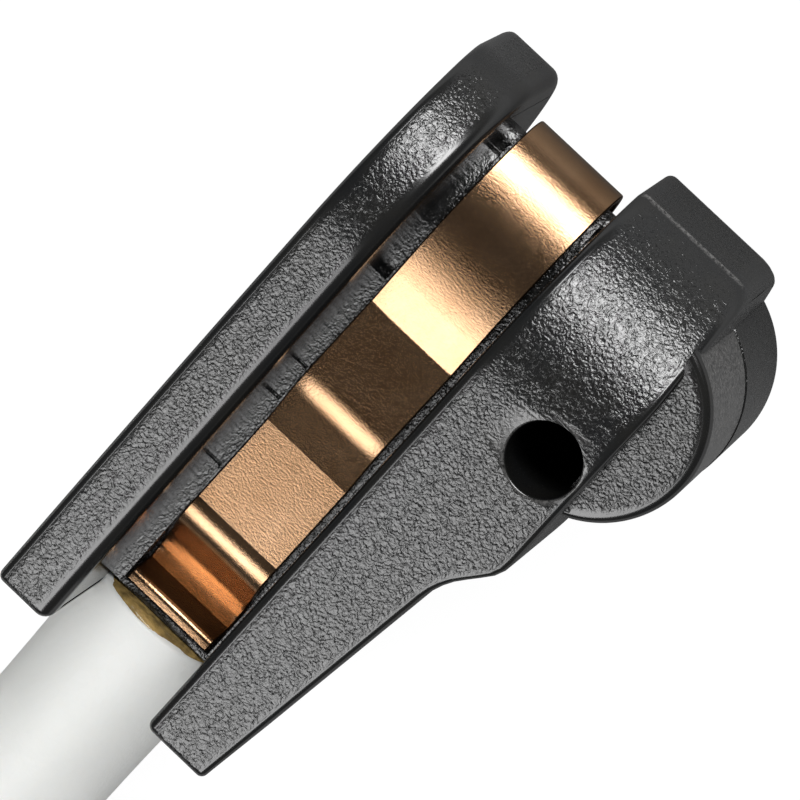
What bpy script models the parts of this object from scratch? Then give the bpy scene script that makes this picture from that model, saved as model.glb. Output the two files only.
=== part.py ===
"""Brake pad wear sensor: a moulded head that clips over the edge of a brake pad's backing plate.

Two wings stand either side of a slot. A bent copper spring clip wraps the core between them, and the
wing on the -Y side carries a round tip with a wire loop inside, which the brake disc rubs through when
the pad is worn. A sleeved cable leaves the -X end and is wound into a flat coil with a two-way plug.

Metres, +Z up. +X runs along the head from the cable to the nose. The head lies on its wings' edges.
The origin is under the middle of the head, on the surface that it lies on.
"""

import math

import bmesh
import bpy
from mathutils import Matrix, Vector

# Clearances
GAP = 0.0003  # between two pieces that meet
CLIP_SIDE_GAP = 0.0002  # between the clip's edges and the rails beside it
FUSE = 0.0002  # how far joined shapes of one moulding run into each other

# Head
HEAD_LENGTH = 0.02456
HEAD_DEPTH = 0.0140
SLOT_WIDTH = 0.00493
EDGE_ROUND = 0.00035
NOSE_START = 0.0172  # from the cable end, where the edges begin to curve in
NOSE_FACE_DEPTH = 0.0042  # of the flat end at the nose

# Plain wing
PLAIN_WING_THICKNESS = 0.00234
PLAIN_WING_CROWN = 0.00005
PLAIN_WING_SETBACK = 0.00024  # at the cable end
PLAIN_WING_NOSE_SETBACK = 0.0002
PLAIN_WING_NOSE_ROUND = 0.0005  # seen from above

# Wing that carries the tip
TIP_WING_ROOT = 0.00265  # thickness at the cable end
TIP_WING_THICKNESS = 0.0055
TIP_WING_SLOPE = 0.134
TIP_WING_STEP_END = 0.01285  # from the cable end
TIP_WING_STEP_SLOPE = 0.785
TIP_WING_STEP_ROUNDS = (0.0029, 0.0014)  # where the step starts and ends
TIP_WING_NOSE_ROUND = 0.0015  # seen from above, at the outer corner
LOCATING_HOLE_DIAMETER = 0.00266
LOCATING_HOLE_PLACE = (0.01682, 0.00391)  # from the cable end, from the slot's face

# Wear tip
TIP_RADIUS = 0.0040
TIP_DEPTH = 0.0108
TIP_PLACE = (0.01887, 0.0039)  # from the cable end, from the slot's face

# Core between the wings
CORE_START = 0.0011
CORE_END = 0.02265
CORE_DEPTH = 0.0040
CORE_END_WALL = 0.00022
CORE_NOSE_ROUND = 0.0017
RAIL_NOTCH = (0.0164, 0.0007, 0.0006)  # from the cable end, length, depth

# Spring clip
CLIP_WIDTH = 0.00381
CLIP_THICKNESS = 0.00028
CLIP_OFFSET_Y = -0.00006
CLIP_TROUGH_LEVEL = 0.00115  # of its mid-surface above the head's middle plane
CLIP_LIP = (0.00170, 0.00195)  # from the cable end, above the middle plane
CLIP_TROUGH = (0.0022, 0.0040)  # its ends, from the cable end
CLIP_TROUGH_BENDS = (0.00045, 0.0009)
CLIP_CREST = (0.0058, 0.00272, 0.00035)  # the last number of each is its bend's radius
CLIP_VALLEY = (0.01035, 0.00258, 0.0015)
CLIP_SECOND_CREST = (0.0115, 0.00295, 0.0006)
CLIP_CREASE = (0.0154, 0.00248, 0.0005)
CLIP_NOSE_CENTRE = 0.0179
CLIP_NOSE_TIP = 0.02317
CLIP_NOSE_HALF_DEPTH = 0.0030
CLIP_NOSE_JOIN = 0.0167

# Leads and the wire loop
LEAD_DIAMETER = 0.0009
LOOP_WIRE_DIAMETER = 0.0006
LEAD_SPREAD = 0.00075  # each side of the middle plane
LEAD_START = 0.0005
LEAD_LINE = 0.00137  # from the slot's face into the wing
LEAD_EXIT_LINE = -0.00023
LEAD_BEND_START = 0.0010
LEAD_BEND_END = 0.0036
LEAD_BEND = 0.0013
CRIMP_DIAMETER = 0.0014
CRIMP_LENGTH = 0.0024
CRIMP_STARTS = (0.0052, 0.0086)
LOOP_TIP_WALL = 0.00075  # plastic left between the wire and the tip's rubbing face
LOOP_BEND = 0.0006

# Adhesive at the cable's entry
ADHESIVE_LENGTH = 0.0003
ADHESIVE_RADIUS = 0.0022

# Cable
CABLE_DIAMETER = 0.0058
CABLE_END = 0.0002  # from the head's cable end, into the slot
CABLE_OFFSET_Y = 0.0002
CABLE_ROUTE = (  # from the cable's end in the head: along -X, towards +Y, down from the exit
    (0.0, 0.0, 0.0),
    (0.0060, 0.0, 0.0001),
    (0.0120, 0.0, 0.0007),
    (0.0190, 0.0, 0.0019),
    (0.0270, 0.0, 0.0031),
    (0.0340, 0.0, 0.0038),
    (0.0400, 0.0, 0.0041),
)
COIL_PITCH = 0.0063
COIL_STRANDS = 3
COIL_MID_RADIUS = 0.0290
CLIMB = (4.5 * math.pi, 5.5 * math.pi)  # wound angles between which the cable rises over the turns
OUTWARD = (4.7 * math.pi, 5.9 * math.pi)  # and between which it moves out over them
TAIL_START = 6.0 * math.pi
TAIL_END = 6.5 * math.pi
TAIL_RADIUS = 0.0265

# Plug at the far end
PLUG_LENGTH = 0.0210
PLUG_WIDTH = 0.0140
PLUG_HEIGHT = 0.0104
PLUG_WALL = 0.0013
PLUG_ROUND = 0.0009
SOCKET_DEPTH = 0.0100
TOWER_LENGTH = 0.0080
TOWER_WIDTH = 0.0086
TOWER_HEIGHT = 0.0052
TERMINAL_SPACING = 0.0042
TERMINAL_SIZE = 0.0014
TERMINAL_LENGTH = 0.0125
TERMINAL_START = 0.0053
PIN_HOLE = 0.0007
WIRE_SEAL_DIAMETER = 0.0028
WIRE_SEAL_LENGTH = 0.0036
PLUG_SEAL_LENGTH = 0.0022
LOCK_START = 0.0072
LOCK_LENGTH = 0.0022
LOCK_DEPTH = 0.0012
LATCH_WIDTH = 0.0044
LATCH_LENGTH = 0.0130
LATCH_RISE = 0.0011
BOOT_LENGTH = 0.0130
BOOT_WALL = 0.0011
BOOT_COLLAR = 0.0042
SLEEVE_IN_BOOT = 0.0065

# Places that follow from the sizes
HALF_DEPTH = HEAD_DEPTH / 2
CABLE_FACE_X = -HEAD_LENGTH / 2
PLAIN_REACH = SLOT_WIDTH / 2 + PLAIN_WING_THICKNESS + PLAIN_WING_CROWN
TIP_REACH = SLOT_WIDTH / 2 + TIP_PLACE[1] + TIP_RADIUS
SLOT_MID_Y = (TIP_REACH - PLAIN_REACH) / 2
PLAIN_FACE_Y = SLOT_MID_Y + SLOT_WIDTH / 2
TIP_FACE_Y = SLOT_MID_Y - SLOT_WIDTH / 2
CLIP_Y = SLOT_MID_Y + CLIP_OFFSET_Y
CABLE_RADIUS = CABLE_DIAMETER / 2
CABLE_Y = SLOT_MID_Y + CABLE_OFFSET_Y
COIL_START_X = CABLE_FACE_X + CABLE_END - CABLE_ROUTE[-1][0]
COIL_OUTER = COIL_MID_RADIUS + COIL_STRANDS * COIL_PITCH / 2
COIL_INNER = COIL_MID_RADIUS - COIL_STRANDS * COIL_PITCH / 2
COIL_CENTRE = Vector((COIL_START_X, CABLE_Y + COIL_OUTER, 0))
OVER_COIL_Z = CABLE_DIAMETER + GAP + CABLE_RADIUS
PLUG_Z = CABLE_DIAMETER + GAP + PLUG_HEIGHT / 2


def along(distance):
    """The x of a point that lies this far from the head's cable end."""
    return CABLE_FACE_X + distance


def in_tip_wing(depth):
    """The y of a point that lies this deep in the tip's wing, from the slot's face."""
    return TIP_FACE_Y - depth


def clear_scene():
    for obj in list(bpy.data.objects):
        bpy.data.objects.remove(obj, do_unlink=True)


def new_collection(name):
    collection = bpy.data.collections.new(name)
    bpy.context.scene.collection.children.link(collection)
    return collection


def material(name, colour, roughness, metallic=0.0):
    made = bpy.data.materials.new(name)
    made.use_nodes = True
    shader = made.node_tree.nodes["Principled BSDF"]
    shader.inputs["Base Color"].default_value = (*colour, 1.0)
    shader.inputs["Roughness"].default_value = roughness
    shader.inputs["Metallic"].default_value = metallic
    return made


def rounded(corners, segments=5):
    """An outline's points, with each corner (x, y, radius) that has a radius turned into an arc."""
    points = []
    for index, (x, y, radius) in enumerate(corners):
        here = Vector((x, y))
        if radius == 0:
            points.append(here)
            continue
        before = Vector(corners[index - 1][:2]) - here
        after = Vector(corners[(index + 1) % len(corners)][:2]) - here
        half_angle = before.angle(after) / 2
        run = radius / math.tan(half_angle)
        halfway = (before.normalized() + after.normalized()).normalized()
        centre = here + halfway * radius / math.sin(half_angle)
        start = here + before.normalized() * run - centre
        end = here + after.normalized() * run - centre
        turn = start.angle_signed(end)
        for step in range(segments + 1):
            arm = start.copy()
            arm.rotate(Matrix.Rotation(-turn * step / segments, 2))
            points.append(centre + arm)
    return points


def arc_points(centre, radius, start, end, segments):
    """Points on an arc about centre, between two angles in radians."""
    return [
        Vector(centre) + radius * Vector((math.cos(a), math.sin(a)))
        for a in (start + (end - start) * i / segments for i in range(segments + 1))
    ]


def mesh_object(name, mesh, collection):
    obj = bpy.data.objects.new(name, mesh)
    collection.objects.link(obj)
    return obj


def curve_to_mesh(curve_object, collection):
    """The curve's solid as a mesh object with its caps welded. The curve is removed."""
    name = curve_object.name
    bpy.context.view_layer.update()
    evaluated = curve_object.evaluated_get(bpy.context.evaluated_depsgraph_get())
    mesh = bpy.data.meshes.new_from_object(evaluated)
    shape = bmesh.new()
    shape.from_mesh(mesh)
    bmesh.ops.remove_doubles(shape, verts=shape.verts, dist=0.000001)
    shape.to_mesh(mesh)
    shape.free()
    place = curve_object.matrix_world.copy()
    bpy.data.objects.remove(curve_object, do_unlink=True)
    obj = mesh_object(name, mesh, collection)
    obj.matrix_world = place
    return obj


def flat_piece(name, outline, thickness, collection, middle=(0, 0, 0), upright=False):
    """An outline as a plate. It lies in XY, or in XZ when upright, with its middle plane at middle."""
    curve = bpy.data.curves.new(name, "CURVE")
    curve.dimensions = "2D"
    curve.fill_mode = "BOTH"
    curve.extrude = thickness / 2
    spline = curve.splines.new("POLY")
    spline.points.add(len(outline) - 1)
    for point, place in zip(spline.points, outline):
        point.co = (place[0], place[1], 0, 1)
    spline.use_cyclic_u = True
    obj = bpy.data.objects.new(name, curve)
    collection.objects.link(obj)
    obj.location = middle
    if upright:
        obj.rotation_euler.x = math.pi / 2
    return curve_to_mesh(obj, collection)


def wire(name, points, diameter, collection, resolution=2):
    """A round wire or cable along a list of points."""
    curve = bpy.data.curves.new(name, "CURVE")
    curve.dimensions = "3D"
    curve.bevel_depth = diameter / 2
    curve.bevel_resolution = resolution
    curve.use_fill_caps = True
    spline = curve.splines.new("POLY")
    spline.points.add(len(points) - 1)
    for point, place in zip(spline.points, points):
        point.co = (*place, 1)
    obj = bpy.data.objects.new(name, curve)
    collection.objects.link(obj)
    return obj


def cylinder(name, radius, depth, centre, collection, axis="Z", sides=32):
    mesh = bpy.data.meshes.new(name)
    shape = bmesh.new()
    bmesh.ops.create_cone(
        shape, cap_ends=True, segments=sides, radius1=radius, radius2=radius, depth=depth
    )
    shape.to_mesh(mesh)
    shape.free()
    obj = mesh_object(name, mesh, collection)
    obj.location = centre
    if axis == "X":
        obj.rotation_euler.y = math.pi / 2
    return obj


def block(name, low, high, collection):
    """A box between two corners, with its size in its mesh."""
    mesh = bpy.data.meshes.new(name)
    shape = bmesh.new()
    bmesh.ops.create_cube(shape, size=1)
    size = Vector(high) - Vector(low)
    bmesh.ops.scale(shape, vec=size, verts=shape.verts)
    shape.to_mesh(mesh)
    shape.free()
    obj = mesh_object(name, mesh, collection)
    obj.location = (Vector(low) + Vector(high)) / 2
    return obj


def turned(name, profile, collection, steps=32):
    """A ring or a sleeve: a closed profile of (radius, height) turned about Z, outer side downwards."""
    mesh = bpy.data.meshes.new(name)
    shape = bmesh.new()
    verts = [shape.verts.new((radius, 0, height)) for radius, height in profile]
    for first, second in zip(verts, verts[1:] + verts[:1]):
        shape.edges.new((first, second))
    shape.to_mesh(mesh)
    shape.free()
    obj = mesh_object(name, mesh, collection)
    screw = obj.modifiers.new("turn", "SCREW")
    screw.angle = 2 * math.pi
    screw.steps = steps
    screw.render_steps = steps
    screw.use_merge_vertices = True
    screw.merge_threshold = 0.000001
    return obj


def combine(obj, other, operation):
    """Adds a Boolean and hides the other shape."""
    boolean = obj.modifiers.new(f"{operation.lower()} {other.name}", "BOOLEAN")
    boolean.operation = operation
    boolean.object = other
    boolean.solver = "EXACT"
    other.hide_render = True
    other.display_type = "WIRE"


def round_edges(obj, width, segments=2, angle=40):
    bevel = obj.modifiers.new("rounded edges", "BEVEL")
    bevel.width = width
    bevel.segments = segments
    bevel.limit_method = "ANGLE"
    bevel.angle_limit = math.radians(angle)


def finish(obj, look):
    obj.data.materials.clear()
    obj.data.materials.append(look)
    if obj.type == "MESH":
        obj.data.shade_smooth()
        obj.data.set_sharp_from_angle(angle=math.radians(35))


def head_side_outline():
    """The head's outline seen from the side: flat edges that curve in to the flat end at the nose."""
    run = HEAD_LENGTH - NOSE_START
    drop = (HEAD_DEPTH - NOSE_FACE_DEPTH) / 2
    radius = (run**2 + drop**2) / (2 * drop)
    sweep = math.asin(run / radius)
    start = along(NOSE_START)
    upper = arc_points((start, HEAD_DEPTH - radius), radius, math.pi / 2, math.pi / 2 - sweep, 10)
    lower = [Vector((p.x, HEAD_DEPTH - p.y)) for p in reversed(upper)]
    return [Vector((along(0), HEAD_DEPTH)), *upper, *lower, Vector((along(0), 0))]


def plain_wing_outline():
    """The plain wing from above: its outer face is slightly crowned."""
    outer = PLAIN_FACE_Y + PLAIN_WING_THICKNESS
    start = along(PLAIN_WING_SETBACK)
    end = along(HEAD_LENGTH - PLAIN_WING_NOSE_SETBACK)
    return rounded(
        [
            (start, PLAIN_FACE_Y, 0),
            (end, PLAIN_FACE_Y, PLAIN_WING_NOSE_ROUND),
            (end, outer, PLAIN_WING_NOSE_ROUND),
            ((start + end) / 2, outer + PLAIN_WING_CROWN, 0),
            (start, outer, 0),
        ]
    )


def tip_wing_outline():
    """The tip's wing from above: it thickens towards the nose, with a soft step before the tip."""
    outer = in_tip_wing(TIP_WING_THICKNESS)
    step_end = along(TIP_WING_STEP_END)
    root = in_tip_wing(TIP_WING_ROOT)
    step_run = (
        root - outer - TIP_WING_SLOPE * TIP_WING_STEP_END
    ) / (TIP_WING_STEP_SLOPE - TIP_WING_SLOPE)
    step_start = step_end - step_run
    step_start_y = root - TIP_WING_SLOPE * (TIP_WING_STEP_END - step_run)
    return rounded(
        [
            (along(HEAD_LENGTH), TIP_FACE_Y, 0),
            (along(0), TIP_FACE_Y, 0),
            (along(0), root, 0),
            (step_start, step_start_y, TIP_WING_STEP_ROUNDS[0]),
            (step_end, outer, TIP_WING_STEP_ROUNDS[1]),
            (along(HEAD_LENGTH), outer, TIP_WING_NOSE_ROUND),
        ]
    )


def core_outline():
    """The core's rails seen from the side, with a rounded nose."""
    low = HALF_DEPTH - CORE_DEPTH / 2
    high = HALF_DEPTH + CORE_DEPTH / 2
    return rounded(
        [
            (along(CORE_START), low, 0),
            (along(CORE_END), low, CORE_NOSE_ROUND),
            (along(CORE_END), high, CORE_NOSE_ROUND),
            (along(CORE_START), high, 0),
        ]
    )


def clip_pocket_outline(side):
    """The recess that the clip's trough dips into, on one side (+1 up, -1 down) of the core."""
    under = CLIP_THICKNESS / 2 + GAP
    floor = CLIP_TROUGH_LEVEL - under
    rise = CLIP_CREST[1] - CLIP_TROUGH_LEVEL
    run = CLIP_CREST[0] - CLIP_TROUGH[1]
    slant = math.atan2(rise, run)
    foot = CLIP_TROUGH[1] + under * math.tan(slant / 2)
    beyond = CORE_DEPTH
    start = CORE_START + CORE_END_WALL
    top_x = foot + (beyond - floor) / math.tan(slant)
    corners = [(start, floor), (foot, floor), (top_x, beyond), (start, beyond)]
    return [Vector((along(x), HALF_DEPTH + side * z)) for x, z in corners]


def lead_path(side):
    """Where an insulated lead runs, as corners with bends: out of the cable and into the tip's wing."""
    z = HALF_DEPTH + side * LEAD_SPREAD
    return [
        Vector((along(LEAD_START), in_tip_wing(LEAD_EXIT_LINE), z)),
        Vector((along(LEAD_BEND_START), in_tip_wing(LEAD_EXIT_LINE), z)),
        Vector((along(LEAD_BEND_END), in_tip_wing(LEAD_LINE), z)),
    ]


def wire_chamber_outline():
    """From above, the chamber that holds the leads, the crimps and the loop's legs."""
    lead_half = LEAD_DIAMETER / 2 + GAP
    crimp_half = CRIMP_DIAMETER / 2 + GAP
    loop_half = LOOP_WIRE_DIAMETER / 2 + GAP
    crimps_from = CRIMP_STARTS[0] - CRIMP_LENGTH / 4
    crimps_to = CRIMP_STARTS[1] + CRIMP_LENGTH + CRIMP_LENGTH / 4
    tip_x = TIP_PLACE[0]
    tip_depth = TIP_PLACE[1] + TIP_RADIUS - LOOP_TIP_WALL + GAP
    corners = [
        (CORE_START / 2, LEAD_EXIT_LINE - lead_half),
        (LEAD_BEND_START + lead_half / 2, LEAD_EXIT_LINE - lead_half),
        (LEAD_BEND_END, LEAD_LINE - lead_half),
        (crimps_from, LEAD_LINE - lead_half),
        (crimps_from, LEAD_LINE - crimp_half),
        (crimps_to, LEAD_LINE - crimp_half),
        (crimps_to, LEAD_LINE - loop_half),
        (tip_x + loop_half, LEAD_LINE - loop_half),
        (tip_x + loop_half, tip_depth),
        (tip_x - loop_half, tip_depth),
        (tip_x - loop_half, LEAD_LINE + loop_half),
        (crimps_to, LEAD_LINE + loop_half),
        (crimps_to, LEAD_LINE + crimp_half),
        (crimps_from, LEAD_LINE + crimp_half),
        (crimps_from, LEAD_LINE + lead_half),
        (LEAD_BEND_END - lead_half / 2, LEAD_LINE + lead_half),
        (LEAD_BEND_START, LEAD_EXIT_LINE + lead_half),
        (CORE_START / 2, LEAD_EXIT_LINE + lead_half),
    ]
    return [Vector((along(x), in_tip_wing(depth))) for x, depth in corners]


def build_housing(parts, cutters, look):
    """The head's one-piece moulding."""
    housing = flat_piece(
        "sensor_housing", tip_wing_outline(), HEAD_DEPTH, parts, (0, 0, HALF_DEPTH)
    )
    plain_wing = flat_piece(
        "plain_wing_plan", plain_wing_outline(), HEAD_DEPTH, cutters, (0, 0, HALF_DEPTH)
    )
    width = PLAIN_REACH + TIP_REACH
    side = flat_piece(
        "head_side_view", head_side_outline(), width, cutters, (0, 0, 0), upright=True
    )
    combine(housing, side, "INTERSECT")
    round_edges(housing, EDGE_ROUND)
    combine(plain_wing, side, "INTERSECT")
    round_edges(plain_wing, EDGE_ROUND)

    tip_centre = (along(TIP_PLACE[0]), in_tip_wing(TIP_PLACE[1]), HALF_DEPTH)
    tip = cylinder("wear_tip", TIP_RADIUS, TIP_DEPTH, tip_centre, cutters, sides=48)
    round_edges(tip, EDGE_ROUND)
    tip_side = block(
        "tip_side",
        (along(0), in_tip_wing(TIP_WING_THICKNESS) - TIP_RADIUS * 2, -HALF_DEPTH),
        (along(HEAD_LENGTH), in_tip_wing(TIP_WING_THICKNESS - FUSE), HEAD_DEPTH * 1.5),
        cutters,
    )
    combine(tip, tip_side, "INTERSECT")
    core = flat_piece(
        "core_rails",
        core_outline(),
        SLOT_WIDTH + 2 * FUSE,
        cutters,
        (0, SLOT_MID_Y, 0),
        upright=True,
    )
    for added in (tip, core, plain_wing):
        combine(housing, added, "UNION")

    for side_name, direction in (("upper", 1), ("lower", -1)):
        pocket = flat_piece(
            f"clip_pocket_{side_name}",
            clip_pocket_outline(direction),
            CLIP_WIDTH + 2 * CLIP_SIDE_GAP,
            cutters,
            (0, CLIP_Y, 0),
            upright=True,
        )
        combine(housing, pocket, "DIFFERENCE")
        notch_x, notch_length, notch_depth = RAIL_NOTCH
        notch_z = HALF_DEPTH + direction * CORE_DEPTH / 2
        notch = block(
            f"rail_notch_{side_name}",
            (along(notch_x - notch_length / 2), TIP_FACE_Y, notch_z - notch_depth),
            (along(notch_x + notch_length / 2), PLAIN_FACE_Y, notch_z + notch_depth),
            cutters,
        )
        combine(housing, notch, "DIFFERENCE")

    recess = cylinder(
        "cable_recess",
        CABLE_RADIUS + GAP,
        2 * CORE_START,
        (along(0), CABLE_Y, HALF_DEPTH),
        cutters,
        axis="X",
    )
    chamber = flat_piece(
        "wire_chamber",
        wire_chamber_outline(),
        2 * (LEAD_SPREAD + CRIMP_DIAMETER / 2 + GAP),
        cutters,
        (0, 0, HALF_DEPTH),
    )
    hole = cylinder(
        "locating_hole",
        LOCATING_HOLE_DIAMETER / 2,
        2 * HEAD_DEPTH,
        (along(LOCATING_HOLE_PLACE[0]), in_tip_wing(LOCATING_HOLE_PLACE[1]), HALF_DEPTH),
        cutters,
    )
    for cut in (recess, chamber, hole):
        combine(housing, cut, "DIFFERENCE")
    finish(housing, look)


def clip_side_points():
    """The clip's mid-surface seen from the side: one waved leg, round the nose, and the other leg."""
    corners = [
        (*CLIP_LIP, 0),
        (CLIP_TROUGH[0], CLIP_TROUGH_LEVEL, CLIP_TROUGH_BENDS[0]),
        (CLIP_TROUGH[1], CLIP_TROUGH_LEVEL, CLIP_TROUGH_BENDS[1]),
        CLIP_CREST,
        CLIP_VALLEY,
        CLIP_SECOND_CREST,
        CLIP_CREASE,
    ]
    reach = CLIP_NOSE_TIP - CLIP_NOSE_CENTRE
    join = math.acos((CLIP_NOSE_JOIN - CLIP_NOSE_CENTRE) / reach)
    segments = 14
    nose = []
    for index in range(segments):
        angle = join * (1 - index / segments)
        nose.append(
            (CLIP_NOSE_CENTRE + reach * math.cos(angle), CLIP_NOSE_HALF_DEPTH * math.sin(angle), 0)
        )
    upper = rounded(corners + nose, segments=3)
    tip = Vector((CLIP_NOSE_TIP, 0))
    lower = [Vector((p.x, -p.y)) for p in reversed(upper)]
    return [Vector((along(p.x), HALF_DEPTH + p.y)) for p in (*upper, tip, *lower)]


def build_clip(parts, look):
    """The bent strip, as an open ribbon given its thickness."""
    mesh = bpy.data.meshes.new("spring_clip")
    shape = bmesh.new()
    edges = [CLIP_Y - CLIP_WIDTH / 2, CLIP_Y + CLIP_WIDTH / 2]
    rows = [[shape.verts.new((p.x, y, p.y)) for y in edges] for p in clip_side_points()]
    for first, second in zip(rows, rows[1:]):
        shape.faces.new((first[0], second[0], second[1], first[1]))
    shape.to_mesh(mesh)
    shape.free()
    clip = mesh_object("spring_clip", mesh, parts)
    solidify = clip.modifiers.new("thickness", "SOLIDIFY")
    solidify.thickness = CLIP_THICKNESS
    solidify.offset = 0
    solidify.use_even_offset = True
    finish(clip, look)


def bent(points, radius, segments=4):
    """A 3D path with each inner corner replaced by a bend."""
    path = [points[0]]
    for before, here, after in zip(points, points[1:], points[2:]):
        inward = (before - here).normalized()
        outward = (after - here).normalized()
        half_angle = inward.angle(outward) / 2
        run = radius / math.tan(half_angle)
        centre = here + (inward + outward).normalized() * radius / math.sin(half_angle)
        start = here + inward * run - centre
        end = here + outward * run - centre
        for step in range(segments + 1):
            arm = start.normalized().slerp(end.normalized(), step / segments)
            path.append(centre + arm * radius)
    path.append(points[-1])
    return path


def build_wiring(parts, copper, insulation):
    """Leads, crimps and the loop that the brake disc wears through."""
    for number, side in ((1, 1), (2, -1)):
        crimp_start = CRIMP_STARTS[number - 1]
        z = HALF_DEPTH + side * LEAD_SPREAD
        y = in_tip_wing(LEAD_LINE)
        lead_end = Vector((along(crimp_start - GAP), y, z))
        lead = wire(
            f"lead_wire_{number}",
            bent([*lead_path(side), lead_end], LEAD_BEND),
            LEAD_DIAMETER,
            parts,
        )
        finish(lead, insulation)
        crimp_middle = (along(crimp_start + CRIMP_LENGTH / 2), y, z)
        crimp = cylinder(
            f"crimp_sleeve_{number}",
            CRIMP_DIAMETER / 2,
            CRIMP_LENGTH,
            crimp_middle,
            parts,
            axis="X",
            sides=16,
        )
        round_edges(crimp, CRIMP_DIAMETER / 10, segments=1)
        finish(crimp, copper)

    line_y = in_tip_wing(LEAD_LINE)
    tip_x = along(TIP_PLACE[0])
    loop_end = in_tip_wing(TIP_PLACE[1] + TIP_RADIUS - LOOP_TIP_WALL) + LOOP_WIRE_DIAMETER / 2
    starts = [along(start + CRIMP_LENGTH + GAP) for start in CRIMP_STARTS]
    up = HALF_DEPTH + LEAD_SPREAD
    down = HALF_DEPTH - LEAD_SPREAD
    corners = [
        Vector((starts[0], line_y, up)),
        Vector((tip_x, line_y, up)),
        Vector((tip_x, loop_end, up)),
        Vector((tip_x, loop_end, down)),
        Vector((tip_x, line_y, down)),
        Vector((starts[1], line_y, down)),
    ]
    loop = wire("contact_loop", bent(corners, LOOP_BEND), LOOP_WIRE_DIAMETER, parts)
    finish(loop, copper)


def build_adhesive(parts, cutters, look):
    """The bead of adhesive between the cable's end and the core, with the leads through it."""
    middle = along(CORE_START - GAP - ADHESIVE_LENGTH / 2)
    bead = cylinder(
        "adhesive_bead",
        ADHESIVE_RADIUS,
        ADHESIVE_LENGTH,
        (middle, CABLE_Y, HALF_DEPTH),
        parts,
        axis="X",
    )
    lead_hole = block(
        "adhesive_lead_hole",
        (
            along(0),
            in_tip_wing(LEAD_LINE),
            HALF_DEPTH - LEAD_SPREAD - LEAD_DIAMETER / 2 - GAP,
        ),
        (
            along(CORE_START),
            in_tip_wing(LEAD_EXIT_LINE - LEAD_DIAMETER / 2 - GAP),
            HALF_DEPTH + LEAD_SPREAD + LEAD_DIAMETER / 2 + GAP,
        ),
        cutters,
    )
    combine(bead, lead_hole, "DIFFERENCE")
    finish(bead, look)


def smooth_route(points, spacing):
    """Evenly spaced points on a smooth curve through the route's points."""
    padded = [2 * points[0] - points[1], *points, 2 * points[-1] - points[-2]]
    fine = []
    for a, b, c, d in zip(padded, padded[1:], padded[2:], padded[3:]):
        for step in range(12):
            t = step / 12
            fine.append(
                0.5 * (2 * b + (c - a) * t + (2 * a - 5 * b + 4 * c - d) * t**2
                       + (3 * b - a - 3 * c + d) * t**3)
            )
    fine.append(points[-1])
    total = sum((q - p).length for p, q in zip(fine, fine[1:]))
    count = max(2, round(total / spacing))
    even = [fine[0]]
    travelled = 0.0
    for p, q in zip(fine, fine[1:]):
        travelled += (q - p).length
        while travelled >= total * len(even) / count - 1e-9 and len(even) < count:
            even.append(q)
    even.append(fine[-1])
    return even


def eased(value, start, end):
    """0 before start, 1 after end, and a smooth rise between."""
    share = min(1.0, max(0.0, (value - start) / (end - start)))
    return share * share * (3 - 2 * share)


def wound_point(angle):
    """The cable's centre at this wound angle: inwards turn by turn, then over the turns to the plug."""
    inward = COIL_OUTER - COIL_PITCH * angle / (2 * math.pi)
    outward = eased(angle, *OUTWARD)
    radius = inward * (1 - outward) + TAIL_RADIUS * outward
    rise = eased(angle, *CLIMB) * (OVER_COIL_Z - CABLE_RADIUS)
    rise += eased(angle, TAIL_START, TAIL_END) * (PLUG_Z - OVER_COIL_Z)
    bearing = -math.pi / 2 - angle
    return COIL_CENTRE + Vector(
        (radius * math.cos(bearing), radius * math.sin(bearing), CABLE_RADIUS + rise)
    )


def build_cable(parts, look):
    """The cable's plain solids: the stretch from the head, the coil, and the stretch to the plug."""
    exit_point = Vector((along(CABLE_END), CABLE_Y, HALF_DEPTH))
    route = [exit_point + Vector((-run, side, -drop)) for run, side, drop in CABLE_ROUTE]
    meeting = math.sqrt(COIL_OUTER**2 - (COIL_OUTER - CABLE_RADIUS) ** 2) + 2 * GAP
    fine_route = smooth_route(route, CABLE_DIAMETER / 4)
    outside = [p for p in fine_route if p.x > COIL_START_X + meeting]
    count = round((len(outside) - 1) / 8)
    lead_points = [outside[round(i * (len(outside) - 1) / count)] for i in range(count + 1)]
    lead = wire("cable_lead", lead_points, CABLE_DIAMETER, parts, 3)
    finish(lead, look)

    top = CABLE_DIAMETER
    edge = CABLE_RADIUS / 2
    coil = turned(
        "cable_coil",
        [
            (COIL_OUTER - edge, top),
            (COIL_OUTER, top - edge),
            (COIL_OUTER, edge),
            (COIL_OUTER - edge, 0),
            (COIL_INNER + edge, 0),
            (COIL_INNER, edge),
            (COIL_INNER, top - edge),
            (COIL_INNER + edge, top),
        ],
        parts,
        steps=40,
    )
    coil.location = COIL_CENTRE
    finish(coil, look)

    count = 10
    tail_points = [
        wound_point(TAIL_START + (TAIL_END - TAIL_START) * i / count) for i in range(count)
    ]
    tail = wire("cable_tail", tail_points + boot_approach(), CABLE_DIAMETER, parts, 3)
    finish(tail, look)


def plug_axis():
    """Where the plug's rear face stands, and the direction that it points in."""
    here = wound_point(TAIL_END)
    ahead = wound_point(TAIL_END + 0.01) - here
    ahead.z = 0
    ahead.normalize()
    rear = here + ahead * BOOT_LENGTH
    rear.z = PLUG_Z
    return rear, ahead


def boot_approach():
    """The cable's last points, straight into the boot."""
    rear, ahead = plug_axis()
    return [rear - ahead * BOOT_LENGTH, rear - ahead * (BOOT_LENGTH - SLEEVE_IN_BOOT)]


def ring_outline(width, height, radius):
    """A rectangle with round corners, centred."""
    return rounded(
        [
            (-width / 2, -height / 2, radius),
            (width / 2, -height / 2, radius),
            (width / 2, height / 2, radius),
            (-width / 2, height / 2, radius),
        ],
        segments=3,
    )


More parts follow.
